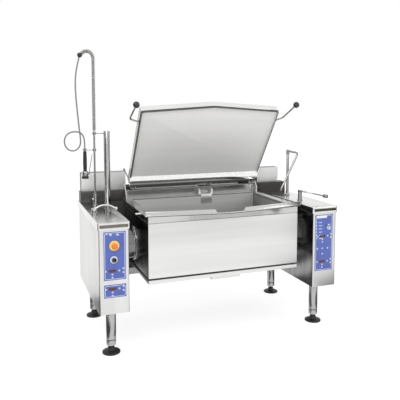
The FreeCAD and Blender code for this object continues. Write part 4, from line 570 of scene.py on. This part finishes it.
def tube_along(name, points, radius, sides=12):
    """A round tube along a list of points, closed at both ends."""
    form = bmesh.new()
    rings = []
    across = None
    for index, point in enumerate(points):
        before, after = points[max(index - 1, 0)], points[min(index + 1, len(points) - 1)]
        along = (after - before).normalized()
        if across is None:
            across = along.orthogonal().normalized()
        across = (across - along * across.dot(along)).normalized()
        other = along.cross(across)
        ring = [form.verts.new(point + across * (radius * math.cos(FULL_TURN * side / sides))
                               + other * (radius * math.sin(FULL_TURN * side / sides))) for side in range(sides)]
        rings.append(ring)
    for low, high in zip(rings, rings[1:]):
        for side in range(sides):
            after = (side + 1) % sides
            form.faces.new((low[side], low[after], high[after], high[side]))
    form.faces.new(rings[0][::-1])
    form.faces.new(rings[-1])
    thing = from_form(name, form)
    smooth(thing)
    return thing


def evenly(points, count):
    """As many points as asked, equally far apart along a line of points."""
    lengths = [0.0]
    for one, other in zip(points, points[1:]):
        lengths.append(lengths[-1] + (other - one).length)
    found, index = [], 0
    for step in range(count):
        wanted = lengths[-1] * step / (count - 1)
        while index < len(points) - 2 and lengths[index + 1] < wanted:
            index += 1
        share = (wanted - lengths[index]) / max(lengths[index + 1] - lengths[index], 1e-9)
        found.append(points[index].lerp(points[index + 1], share))
    return found


def wound(name, line, radius, wire, pitch, sides=8):
    """A wire wound round a line of points."""
    length = sum((other - one).length for one, other in zip(line, line[1:]))
    per_turn = 14
    count = int(length / pitch * per_turn) + 1
    centres = evenly(line, count)
    points, across = [], None
    for index, centre in enumerate(centres):
        along = (centres[min(index + 1, count - 1)] - centres[max(index - 1, 0)]).normalized()
        if across is None:
            across = along.orthogonal().normalized()
        across = (across - along * across.dot(along)).normalized()
        angle = FULL_TURN * index / per_turn
        points.append(centre + across * (radius * math.cos(angle)) + along.cross(across) * (radius * math.sin(angle)))
    return tube_along(name, points, wire / 2, sides)


# Places that several pieces share, read from the frame

def middle_of(node):
    low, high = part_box(node)
    return (low + high) / 2


def islands(node):
    """The boxes of the separate pieces of a CAD node."""
    form = bmesh.new()
    form.from_mesh(frame["nodes"][node].data)
    bmesh.ops.remove_doubles(form, verts=form.verts, dist=MERGE)
    turn = frame["nodes"][node].matrix_world
    seen, found = set(), []
    for vertex in form.verts:
        if vertex in seen:
            continue
        waiting, piece = [vertex], []
        seen.add(vertex)
        while waiting:
            one = waiting.pop()
            piece.append(turn @ one.co)
            for edge in one.link_edges:
                other = edge.other_vert(one)
                if other not in seen:
                    seen.add(other)
                    waiting.append(other)
        found.append((Vector([min(place[axis] for place in piece) for axis in range(3)]),
                      Vector([max(place[axis] for place in piece) for axis in range(3)])))
    form.free()
    return found


def low_of(node):
    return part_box(node)[0]


def high_of(node):
    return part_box(node)[1]


class BrattOperator(bpy.types.Operator):
    """Common part of the operators that make pieces."""
    bl_options = {"REGISTER", "UNDO"}


def seen_rays(nodes, links):
    """1 for the rays that see the background: from the camera, in gloss and through glass."""
    path = nodes.new("ShaderNodeLightPath")
    found = path.outputs["Is Camera Ray"]
    for ray in ("Is Glossy Ray", "Is Transmission Ray"):
        either = nodes.new("ShaderNodeMath")
        either.operation = "MAXIMUM"
        links.new(found, either.inputs[0])
        links.new(path.outputs[ray], either.inputs[1])
        found = either.outputs[0]
    return found


class BRATT_OT_stage(BrattOperator):
    """Set up the camera, the studio and the floor"""
    bl_idname = "bratt.stage"
    bl_label = "Studio"

    def execute(self, context):
        self.make_camera(context)
        self.make_world(context)
        self.make_lamps()
        self.make_floor()
        self.make_cards()
        context.scene.view_settings.view_transform = "Standard"
        return {"FINISHED"}

    def make_camera(self, context):
        data = bpy.data.cameras.new("camera")
        data.lens = CAMERA_LENS
        data.shift_y = CAMERA_SHIFT
        camera = link("camera", data)
        camera.location = CAMERA_PLACE
        camera.rotation_euler = (math.pi / 2 - CAMERA_DIP, 0, -CAMERA_TURN)
        context.scene.camera = camera

    def make_world(self, context):
        """Even soft light, and a white background where it is seen."""
        world = bpy.data.worlds.new("studio")
        world.use_nodes = True
        nodes, links = world.node_tree.nodes, world.node_tree.links
        nodes.clear()
        mix = nodes.new("ShaderNodeMixShader")
        links.new(seen_rays(nodes, links), mix.inputs["Fac"])
        for socket, strength in ((1, settings("studio").fill), (2, 1.0)):
            light = nodes.new("ShaderNodeBackground")
            light.inputs["Color"].default_value = (1, 1, 1, 1)
            light.inputs["Strength"].default_value = strength
            links.new(light.outputs[0], mix.inputs[socket])
        output = nodes.new("ShaderNodeOutputWorld")
        links.new(mix.outputs[0], output.inputs["Surface"])
        context.scene.world = world

    def make_lamps(self):
        low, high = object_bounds()
        middle = (low + high) / 2
        power = settings("studio").lamp
        for name, place, size, share in LAMPS:
            data = bpy.data.lights.new(name, "AREA")
            data.shape = "DISK"
            data.size = size
            data.energy = power * share
            lamp = link(name, data)
            lamp.location = place
            lamp.rotation_euler = (middle - Vector(place)).to_track_quat("-Z", "Y").to_euler()

    def make_floor(self):
        """A wide white floor that keeps a faint shadow."""
        form = bmesh.new()
        bmesh.ops.create_grid(form, x_segments=1, y_segments=1, size=30)
        floor = from_form("studio_floor", form)
        material, add, finish = new_material("studio_floor")
        grain = noise(add, object_place(add), 3.0, 2.0)
        pale = mix_colours(add, grain, (0.80, 0.80, 0.80), (0.82, 0.82, 0.82))
        diffuse = add("BsdfDiffuse", {"Color": pale})
        shaded = add("BsdfDiffuse", {"Color": mix_colours(add, grain, (0.36, 0.36, 0.36), (0.37, 0.37, 0.37))})
        glow = add("Emission", {"Color": (1, 1, 1, 1), "Strength": 0.78})
        both = add("AddShader", {0: shaded.outputs[0], 1: glow.outputs[0]})
        tree = material.node_tree
        finish(add("MixShader", {0: seen_rays(tree.nodes, tree.links), 1: diffuse.outputs[0], 2: both.outputs[0]}))
        floor.data.materials.append(material)
        floor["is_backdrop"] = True

    def make_cards(self):
        """Dark cards beside the camera and on the floor that only show as streaks in polished metal."""
        shade = settings("studio").card
        material, add, finish = new_material("dark_card")
        weave = noise(add, object_place(add), 40.0, 2.0)
        finish(add("Emission", {"Color": mix_colours(add, weave, *shades((shade,) * 3, 0.1)), "Strength": 1.0}))
        for name, place, (width, height), way in CARDS:
            form = bmesh.new()
            bmesh.ops.create_grid(form, x_segments=1, y_segments=1, size=0.5)
            bmesh.ops.scale(form, vec=(width, height, 1), verts=form.verts)
            facing = Vector(way).to_track_quat("Z", "Y").to_matrix().to_4x4()
            form.transform(Matrix.Translation(place) @ facing)
            card = from_form(name, form)
            card.visible_camera = False
            card.visible_diffuse = False
            card.visible_transmission = False
            card.visible_shadow = False
            card.data.materials.append(material)
            card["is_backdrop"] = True


# Spray

# Radius and turn of the guard's arch, and the hose's start from the middle of the ball
ARCH_RADIUS, ARCH_TURN, ARCH_STEPS = 0.046, math.radians(122.25), 24
HOSE_START = 0.008

# Control points of the hose in X and Y from the riser and Z above the covers
HOSE_ROUTE = [
    (-0.120, -0.002, 1.000), (-0.131, -0.005, 0.900), (-0.128, -0.008, 0.790), (-0.119, -0.011, 0.680),
    (-0.111, -0.013, 0.580), (-0.101, -0.014, 0.4915), (-0.101, -0.013, 0.4485), (-0.122, -0.010, 0.4138),
    (-0.157, -0.006, 0.4005), (-0.1917, -0.002, 0.4138), (-0.213, 0.002, 0.4485), (-0.213, 0.006, 0.4915),
    (-0.1917, 0.009, 0.5262), (-0.157, 0.011, 0.5405), (-0.120, 0.012, 0.541), (-0.087, 0.011, 0.526),
    (-0.072, 0.007, 0.493), (-0.070, 0.0, 0.455),
]


def hose_line():
    """The hose's control points, from the ball at the end of the guard to the gun."""
    riser = middle_of("spray_riser")
    base = Vector((riser.x, riser.y, high_of("left_cover").z))
    route = [base + Vector(point) for point in HOSE_ROUTE]
    ball = middle_of("guard_ball")
    centre = Vector((ball.x, riser.y, ball.z))
    start = centre + (route[0] - centre).normalized() * HOSE_START
    end = Vector((middle_of("spray_grip").x, riser.y, high_of("spray_body").z))
    return [start] + route + [end]


class BRATT_OT_hose(BrattOperator):
    """Make the hose between the guard and the gun"""
    bl_idname = "bratt.hose"
    bl_label = "Hose"

    def execute(self, context):
        thickness = settings("spray").hose
        points = hose_line()
        curve = bpy.data.curves.new("spray_hose", "CURVE")
        curve.dimensions = "3D"
        curve.resolution_u = 12
        curve.bevel_depth = thickness / 2
        curve.bevel_resolution = 5
        curve.use_fill_caps = True
        spline = curve.splines.new("NURBS")
        spline.points.add(len(points) - 1)
        for place, point in zip(spline.points, points):
            place.co = (*point, 1)
        spline.order_u = 3
        spline.use_endpoint_u = True
        hose = link("spray_hose", curve)
        seat(hose, "hose", "hose")
        return {"FINISHED"}


class BRATT_OT_spring_guard(BrattOperator):
    """Wind the spring guard round its inner tube"""
    bl_idname = "bratt.spring_guard"
    bl_label = "Spring guard"

    def execute(self, context):
        spray = settings("spray")
        outer = spray.spring
        line = self.middle_line(outer)
        core = tube_along("guard_core", evenly(line, 90), outer - spray.wire * 1.6, 20)
        seat(core, "hose", "spring_guard", False)
        for name, part, pitch in (("guard_coil", line[:2], spray.pitch),
                                  ("guard_arch_coil", line[1:], spray.arch_pitch)):
            coil = wound(name, part, outer - spray.wire / 2, spray.wire, pitch)
            seat(coil, "spring", "spring_guard")
        return {"FINISHED"}

    def middle_line(self, outer):
        """From the riser straight up, round the arch and down to the ball."""
        low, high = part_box("spring_guard")
        riser = middle_of("spray_riser")
        crown = high.z - outer - ARCH_RADIUS
        start = Vector((riser.x, riser.y, low.z))
        line = [start, Vector((riser.x, riser.y, crown))]
        centre = Vector((riser.x - ARCH_RADIUS, riser.y, crown))
        for step in range(1, ARCH_STEPS + 1):
            angle = ARCH_TURN * step / ARCH_STEPS
            line.append(centre + Vector((math.cos(angle), 0, math.sin(angle))) * ARCH_RADIUS)
        ball = middle_of("guard_ball")
        line.append(line[-1].lerp(Vector((ball.x, riser.y, ball.z)), 0.6))
        return line


class BRATT_OT_spray(BrattOperator):
    """Finish the riser, the pole, the valve and the gun"""
    bl_idname = "bratt.spray"
    bl_label = "Spray"

    def execute(self, context):
        for node, material in (("spray_riser", "chrome"), ("guard_ball", "rubber"), ("riser_clamps", "chrome"),
                               ("spray_valve", "chrome"), ("spray_body", "chrome"), ("spray_trigger", "chrome"),
                               ("spray_face", "rubber"), ("valve_knob", "rubber")):
            rolled(node, material, 0.0006)
        rolled("spray_pole", "pole", 0.0007)
        self.make_grip()
        return {"FINISHED"}

    def make_grip(self):
        """Ribbed grip, swelling slightly towards the thumb."""
        low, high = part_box("spray_grip")
        radius, length = (high.x - low.x) / 2, high.z - low.z
        ribs = settings("spray").grip_ribs
        profile = [(radius * 0.62, 0.0), (radius * 0.9, 0.002)]
        for rib in range(ribs * 4 + 1):
            share = rib / (ribs * 4)
            swell = radius * (0.86 + 0.10 * math.sin(math.pi * min(1, share * 1.15)))
            groove = radius * 0.055 * (0.5 - 0.5 * math.cos(FULL_TURN * share * ribs))
            profile.append((swell - groove, 0.006 + share * (length - 0.014)))
        profile += [(radius * 0.78, length - 0.003), (radius * 0.62, length)]
        middle = (low + high) / 2
        grip = turned("spray_grip_ribbed", profile, (middle.x, middle.y, low.z))
        seat(grip, "rubber", "spray_grip")


class BRATT_OT_consoles(BrattOperator):
    """Finish the consoles, their covers and what stands inside them"""
    bl_idname = "bratt.consoles"
    bl_label = "Consoles"

    def execute(self, context):
        for side, inward in (("left", 1), ("right", -1)):
            casing = rolled(side + "_casing", "sheet_z")
            # The casings' inner faces, towards the pan, take the darker steel: painted shade in the gaps.
            face_finish(casing, "shade", lambda middle, normal: normal.x * inward > 0.7)
            rolled(side + "_cover", "cover", 0.0012, 3)
        strips = rolled("cover_strips", "strip", 0.0003)
        # The strips on the left console are lighter than those on the right: painted light.
        face_finish(strips, "strip_painted_light", lambda middle, normal: middle.x < 0)
        paint("inner_steel", "console_frames")
        paint("cast", "bearings", "tilt_gearbox")
        paint("box_plastic", "control_box")
        paint("motor", "tilt_motor")
        return {"FINISHED"}


# Reach of the sleeves over the screwed stems, below the legs
SLEEVE_DROP = 0.030


class BRATT_OT_legs(BrattOperator):
    """Finish the legs, their screwed stems and the feet"""
    bl_idname = "bratt.legs"
    bl_label = "Legs and feet"

    def execute(self, context):
        rolled("legs", "leg", 0.0008)
        rolled("foot_stems", "leg", 0.0008)
        sleeves = []
        for low, high in islands("legs"):
            radius, foot = (high.x - low.x) / 2, low.z - SLEEVE_DROP
            profile = [(radius * 0.55, foot), (radius - 0.001, foot), (radius, foot + 0.001), (radius, low.z + 0.004),
                       (radius * 0.55, low.z + 0.004)]
            sleeves.append(turned("sleeve", profile, ((low.x + high.x) / 2, (low.y + high.y) / 2, 0)))
        seat(joined("leg_sleeves", sleeves), "leg", "legs", False)
        rolled("feet", "rubber", 0.002, 3)
        return {"FINISHED"}


# Corner of the rim's front edge, and a line just under the rim's sheet
RIM_CORNER, RIM_UNDER = -0.4015, 0.9175


class BRATT_OT_pan(BrattOperator):
    """Finish the pan, its well and its trunnions"""
    bl_idname = "bratt.pan"
    bl_label = "Tilting pan"

    def execute(self, context):
        rim = rolled("rim_frame", "rim")
        # The rim's rear part behind the well takes the darker grey steel: painted shade.
        face_finish(rim, "grey_painted_shade", lambda middle, normal: middle.y > 0.20)
        casing = rolled("pan_casing", "sheet_x")
        # The pan casing's side walls, across narrow gaps from the consoles, take the darker steel: painted shade.
        face_finish(casing, "shade", lambda middle, normal: abs(normal.x) > 0.7)
        cover = rolled("bottom_cover", "sheet_x")
        # The bottom cover's faces above the groove line take the black strip plastic: painted shadow in the groove.
        groove = low_of("pan_casing").z - 0.0115
        face_finish(cover, "strip", lambda middle, normal: middle.z > groove)
        # The well's dark steel is painted shade inside the well, and its right wall is darker still as painted shade.
        vessel = rolled("vessel", "well")
        face_finish(vessel, "shade", lambda middle, normal: normal.x < -0.7)
        # The trunnions are dark all over as painted shade, and the faces of their bevelled edges are light as a
        # painted highlight.
        trunnions = rolled("trunnions", "round", 0.002, 3)
        face_finish(trunnions, "round_painted_highlight", lambda middle, normal: 0.2 < abs(normal.x) < 0.9)
        self.make_painted_shadow_lines()
        paint("inner_steel", "cradle")
        paint("wool", "insulation")
        paint("element", "heating_elements")
        return {"FINISHED"}

    def make_painted_shadow_lines(self):
        """Dark lines under the rim's edge and where the flare meets the casing: painted shadow in these gaps."""
        rim_low, rim_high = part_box("rim_frame")
        casing_low, casing_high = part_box("pan_casing")
        half, corner, peak = rim_high.x - 0.002, RIM_CORNER + 0.003, rim_low.y + 0.003
        edge = casing_high.x - 0.001
        lines = []
        for points, radius in (([(-half, corner, RIM_UNDER), (0, peak, RIM_UNDER), (half, corner, RIM_UNDER)], 0.0022),
                               ([(-edge, casing_low.y, casing_high.z), (edge, casing_low.y, casing_high.z)], 0.0013)):
            lines.append(tube_along("painted_shadow_line", [Vector(point) for point in points], radius, 8))
        seat(joined("rim_painted_shadow_lines", lines), "lip", "rim_frame", False)


# Lid, drawn shut with its hinge at the origin and then swung open

LID_OPEN = math.radians(54.4)
LID_HALF, LID_CORNER, LID_PEAK, LID_BACK = 0.527, 0.744, 0.786, 0.070
LID_TOP, LID_EDGE, LID_SEAL, LID_FOOT = 0.019, -0.033, -0.048, -0.070
LINER_BACK = 0.137

# Ends of the handle rods on the lid, beside it and in the ball, for the right side
HANDLE = [(0.526, -0.644, -0.026), (0.591, -0.660, -0.016), (0.591, -0.855, -0.122)]
BALL_RADIUS, ROD_RADIUS, ROD_BEND = 0.0225, 0.0062, 0.028
COLLAR = [(0, 0), (0.0125, 0), (0.0125, 0.004), (0.0085, 0.0065), (0, 0.0065)]


def swung(thing):
    """A piece of the lid swung open about the hinge."""
    hinge = middle_of("hinge_shaft")
    thing.data.transform(Matrix.Translation((0, hinge.y, hinge.z)) @ Matrix.Rotation(-LID_OPEN, 4, "X"))
    return thing


def lid_level(margin, back, height):
    """The lid's plan at a height, smaller by a margin, with its front corners rounded."""
    half = LID_HALF - margin
    corner, peak = margin - LID_CORNER, margin - LID_PEAK
    corners = [(-half, -back), (-half, corner), (0, peak), (half, corner), (half, -back)]
    return [(x, y, height) for x, y in rounded_profile(corners, 0.012)]


def lofted(name, levels):
    """A closed form through outlines of equally many corners, ending in its first and last outline."""
    form = bmesh.new()
    rings = [[form.verts.new(point) for point in level] for level in levels]
    form.faces.new(rings[0])
    form.faces.new(rings[-1])
    for low, high in zip(rings, rings[1:]):
        for index in range(len(low)):
            after = (index + 1) % len(low)
            form.faces.new((low[index], low[after], high[after], high[index]))
    thing = from_form(name, form)
    smooth(thing)
    return thing


def strip(name, levels):
    """A strip with levels as the long edges of its section, closed at both ends."""
    return lofted(name, list(zip(*levels)))


class BRATT_OT_lid(BrattOperator):
    """Make the lid's shell, liner, seal, arms and handles"""
    bl_idname = "bratt.lid"
    bl_label = "Lid"

    def execute(self, context):
        self.make_shell()
        self.make_liner()
        self.make_seal()
        self.make_handles()
        rolled("lid_arms", "sheet_z", 0.0008)
        # The knuckle takes the darker grey steel: painted shade.
        rolled("lid_knuckle", "grey_painted_shade", 0.0012)
        return {"FINISHED"}

    def dress(self, thing, material, node, replaces=True):
        seat(swung(thing), material, node, replaces)

    def make_shell(self):
        """Pressed cover with folded edges, the bright roll along its back, and a dark strip under the roll as painted
        shadow.
        """
        steps = [(0.006, LID_TOP), (0.0018, LID_TOP - 0.0016), (0, LID_TOP - 0.006), (0, LID_EDGE + 0.0015),
                 (0.0015, LID_EDGE), (0.0035, LID_EDGE), (0.0045, LID_EDGE + 0.0015), (0.0045, LID_EDGE + 0.012)]
        shell = lofted("lid_cover", [lid_level(margin, LID_BACK + margin, height) for margin, height in steps])
        self.dress(shell, "lid", "lid_shell")
        # The shell's left wall takes the darker grey steel: painted shade on that side.
        face_finish(shell, "grey_painted_shade", lambda middle, normal: normal.x < -0.7)
        near, far = (-LINER_BACK, LID_EDGE - 0.0012), (-LID_BACK - 0.014, LID_FOOT)
        section = [(near[0], LID_EDGE + 0.012)]
        for step in range(13):
            share = step / 12
            bulge = 0.006 * math.sin(math.pi * share)
            section.append((near[0] + (far[0] - near[0]) * share - bulge * 0.43,
                            near[1] + (far[1] - near[1]) * share - bulge * 0.90))
        section += [(-LID_BACK, LID_FOOT), (-LID_BACK, LID_EDGE + 0.012)]
        half = LID_HALF - 0.001
        roll = lofted("lid_roll", [[(x, y, z) for y, z in section] for x in (-half, half)])
        self.dress(roll, "roll", "lid_shell", False)
        # A dark strip under the roll: painted shadow.
        foot = [(-LID_BACK - 0.016, LID_FOOT - 0.005), (-LID_BACK - 0.016, LID_FOOT + 0.001),
                (-LID_BACK, LID_FOOT + 0.001), (-LID_BACK, LID_FOOT - 0.005)]
        edge = lofted("lid_roll_painted_shadow", [[(x, y, z) for y, z in foot] for x in (-half, half)])
        self.dress(edge, "lip", "lid_shell", False)

    def make_liner(self):
        """Pressed inner panel with a rolled edge."""
        steps = [(0.0105, LID_EDGE + 0.010), (0.0105, LID_EDGE + 0.001), (0.0115, LID_EDGE - 0.0006),
                 (0.0140, LID_EDGE - 0.0012)]
        self.dress(lofted("lid_inner_panel", [lid_level(margin, LINER_BACK, height) for margin, height in steps]),
                   "liner", "lid_liner")

    def make_seal(self):
        """Dark lip round the liner, held by a bright strip."""
        for name, material, outer, inner, foot in (("lid_lip", "lip", 0.0048, 0.0085, LID_SEAL),
                                                   ("lid_lip_holder", "roll", 0.0088, 0.0100, LID_SEAL + 0.003)):
            levels = [lid_level(outer, LINER_BACK, LID_EDGE + 0.008), lid_level(outer, LINER_BACK, foot),
                      lid_level(inner, LINER_BACK, foot), lid_level(inner, LINER_BACK, LID_EDGE + 0.008)]
            self.dress(strip(name, levels), material, "lid_seal", material == "lip")

    def make_handles(self):
        """Bent rods with a collar at the lid and a ball at the end."""
        rods, balls = [], []
        radius = BALL_RADIUS
        profile = [(0, -radius)] + [(radius * math.cos(angle), radius * math.sin(angle)) for angle in
                                    [math.radians(turn) for turn in range(-80, 71, 10)]] + [(0.0075, radius)]
        for side in (-1, 1):
            root, bend, ball = [(side * x, y, z) for x, y, z in HANDLE]
            rods.append(tube_along("rod", rounded_profile([root, bend, ball], ROD_BEND, 8), ROD_RADIUS, 16))
            rods.append(turned("collar", COLLAR, root, (side, 0, 0), 24))
            way = Vector(ball) - Vector(bend)
            balls.append(turned("ball", [(r, -h) for r, h in profile] + [(0, -radius)], ball, way, 32))
        self.dress(joined("handle_bars", rods), "chrome", "handle_rods")
        self.dress(joined("handle_knobs", balls), "ball", "handle_balls")


class BRATT_OT_hinge(BrattOperator):
    """Finish the lid's hinge on the pan"""
    bl_idname = "bratt.hinge"
    bl_label = "Hinge"

    def execute(self, context):
        rolled("hinge_brackets", "sheet_x", 0.001)
        rolled("hinge_shaft", "shaft", 0.001)
        rolled("spring_sleeves", "rubber", 0.0015)
        rolled("lid_catch", "chrome", 0.0008)
        return {"FINISHED"}


class BRATT_OT_rear(BrattOperator):
    """Finish the beam and the boxes behind the pan"""
    bl_idname = "bratt.rear"
    bl_label = "Rear boxes"

    def execute(self, context):
        rolled("rear_beam", "beam", 0.0015)
        # The rear panel, seen through the gaps beside the pan, takes the dark beam paint: painted shade in those gaps.
        rolled("rear_panel", "beam", 0.0008)
        for node in ("left_box", "right_box"):
            box = rolled(node, "box", 0.0015)
            # The boxes' tops and left sides take the dark grey steel: painted shade.
            face_finish(box, "box_painted_shade", lambda middle, normal: normal.z > 0.7 or normal.x < -0.7)
        return {"FINISHED"}


FRAME_INSET, FRAME_ROUND, FRAME_LINE = 0.007, 0.010, 0.0028

# Name, material and the middles and sizes (x, z, width, height) of the small prints
PRINTS = [("panel_bars", "print", [(0.7474, 0.8247, 0.0852, 0.0162), (-0.7946, 0.8255, 0.0151, 0.0089),
                    (-0.7491, 0.8216, 0.0152, 0.0089), (-0.8177, 0.8274, 0.0087, 0.0063)]),
          ("panel_glyphs", "key", [(0.7356, 0.7852, 0.0271, 0.0066), (0.7361, 0.7616, 0.0271, 0.0066),
                    (0.7366, 0.738, 0.0272, 0.0066), (0.7371, 0.7144, 0.0272, 0.0067),
                    (0.7376, 0.6907, 0.0272, 0.0066), (0.7382, 0.6671, 0.0271, 0.0067),
                    (0.702, 0.7878, 0.0134, 0.0067), (0.7024, 0.7642, 0.0135, 0.0066),
                    (0.7029, 0.7407, 0.0135, 0.0066), (0.7034, 0.7172, 0.0135, 0.0067),
                    (0.7039, 0.6936, 0.0135, 0.0066), (0.7044, 0.67, 0.0135, 0.0067)]),
          ("panel_marks", "mark", [(0.8082, 0.7649, 0.0189, 0.0089), (0.8113, 0.7424, 0.0189, 0.0089)])]


class BRATT_OT_panels(BrattOperator):
    """Print the control panels and finish what is on them"""
    bl_idname = "bratt.panels"
    bl_label = "Control panels"

    def execute(self, context):
        rolled("control_panels", "foil", 0.0003)
        rolled("membrane_keys", "key", 0.0003)
        rolled("displays", "display", 0.0003)
        rolled("stop_ring", "ring", 0.0015, 3)
        rolled("stop_button", "stop", 0.0012, 3)
        rolled("tilt_selector", "knob", 0.0008)
        rolled("panel_dial", "key", 0.0008)
        self.make_frames()
        self.make_prints()
        return {"FINISHED"}

    def dress_print(self, thing, material="print"):
        seat(thing, material, "control_panels", False)

    def make_frames(self):
        """Pale rounded line near the edge of each foil."""
        front = low_of("control_panels").y
        frames = []
        for low, high in islands("control_panels"):
            middle = Vector(((low.x + high.x) / 2, (low.z + high.z) / 2))
            half = Vector((high.x - low.x, high.z - low.z)) / 2 - Vector((FRAME_INSET, FRAME_INSET))
            outline = []
            for x, z, start in ((1, 1, 0), (-1, 1, 90), (-1, -1, 180), (1, -1, 270)):
                centre = middle + Vector((x * (half.x - FRAME_ROUND), z * (half.y - FRAME_ROUND)))
                for turn in range(0, 91, 15):
                    angle = math.radians(start + turn)
                    outline.append(centre + Vector((math.cos(angle), math.sin(angle))) * FRAME_ROUND)
            line = [Vector((x, 0, z)) for x, z in outline + outline[:1]]
            frame_line = tube_along("frame", line, FRAME_LINE / 2, 8)
            frame_line.data.transform(Matrix.Translation((0, front, 0)) @ Matrix.Diagonal((1, 0.12, 1, 1)))
            frames.append(frame_line)
        self.dress_print(joined("panel_frames", frames))

    def make_prints(self):
        """Disc under the round switch, and small lamps, bars and dots."""
        front = low_of("control_panels").y
        switch = middle_of("tilt_selector")
        disc = turned("switch_disc", [(0, 0), (0.0235, 0), (0.0235, 0.0004), (0.0228, 0.0007), (0, 0.0007)],
                      (switch.x, front, switch.z), (0, -1, 0), 40)
        self.dress_print(disc)
        for name, material, places in PRINTS:
            pieces = []
            for x, z, width, height in places:
                outline = [(x + i * width / 2, z + k * height / 2) for i, k in ((-1, -1), (1, -1), (1, 1), (-1, 1))]
                pieces.append(plate("print", outline, front - 0.0003, front + 0.0002))
            self.dress_print(joined(name, pieces), material)


class BRATT_OT_taps(BrattOperator):
    """Finish the lever taps and the swivelling spout"""
    bl_idname = "bratt.taps"
    bl_label = "Taps and spout"

    def execute(self, context):
        rolled("left_lever", "sheet_y", 0.0008)
        for node in ("lever_taps", "right_lever", "spout_column", "swivel_spout"):
            rolled(node, "chrome", 0.0008)
        return {"FINISHED"}


OPERATORS = (BRATT_OT_stage, BRATT_OT_hose, BRATT_OT_spring_guard, BRATT_OT_spray, BRATT_OT_consoles, BRATT_OT_legs,
             BRATT_OT_pan, BRATT_OT_lid, BRATT_OT_hinge, BRATT_OT_rear, BRATT_OT_panels, BRATT_OT_taps)


class BRATT_PT_sidebar(bpy.types.Panel):
    """Lists the steps that finish the bratt pan"""
    bl_idname = "BRATT_PT_sidebar"
    bl_label = "Bratt pan"
    bl_space_type = "VIEW_3D"
    bl_region_type = "UI"
    bl_category = "Bratt pan"

    def draw(self, context):
        column = self.layout.column(align=True)
        for operator in OPERATORS:
            column.operator(operator.bl_idname)
        for group in SETTINGS:
            box = self.layout.box()
            box.label(text=SETTINGS[group].__doc__)
            values = getattr(context.scene, group)
            for name in values.__annotations__:
                box.prop(values, name)


def register():
    for cls in (*SETTINGS.values(), *OPERATORS, BRATT_PT_sidebar):
        bpy.utils.register_class(cls)
    for name, group in SETTINGS.items():
        setattr(bpy.types.Scene, name, PointerProperty(type=group))


def unregister():
    for name in SETTINGS:
        delattr(bpy.types.Scene, name)
    for cls in reversed((*SETTINGS.values(), *OPERATORS, BRATT_PT_sidebar)):
        bpy.utils.unregister_class(cls)


def main():
    register()
    make_materials()
    for operator in OPERATORS:
        module, name = operator.bl_idname.split(".")
        getattr(getattr(bpy.ops, module), name)()


if __name__ == "__main__":
    main()
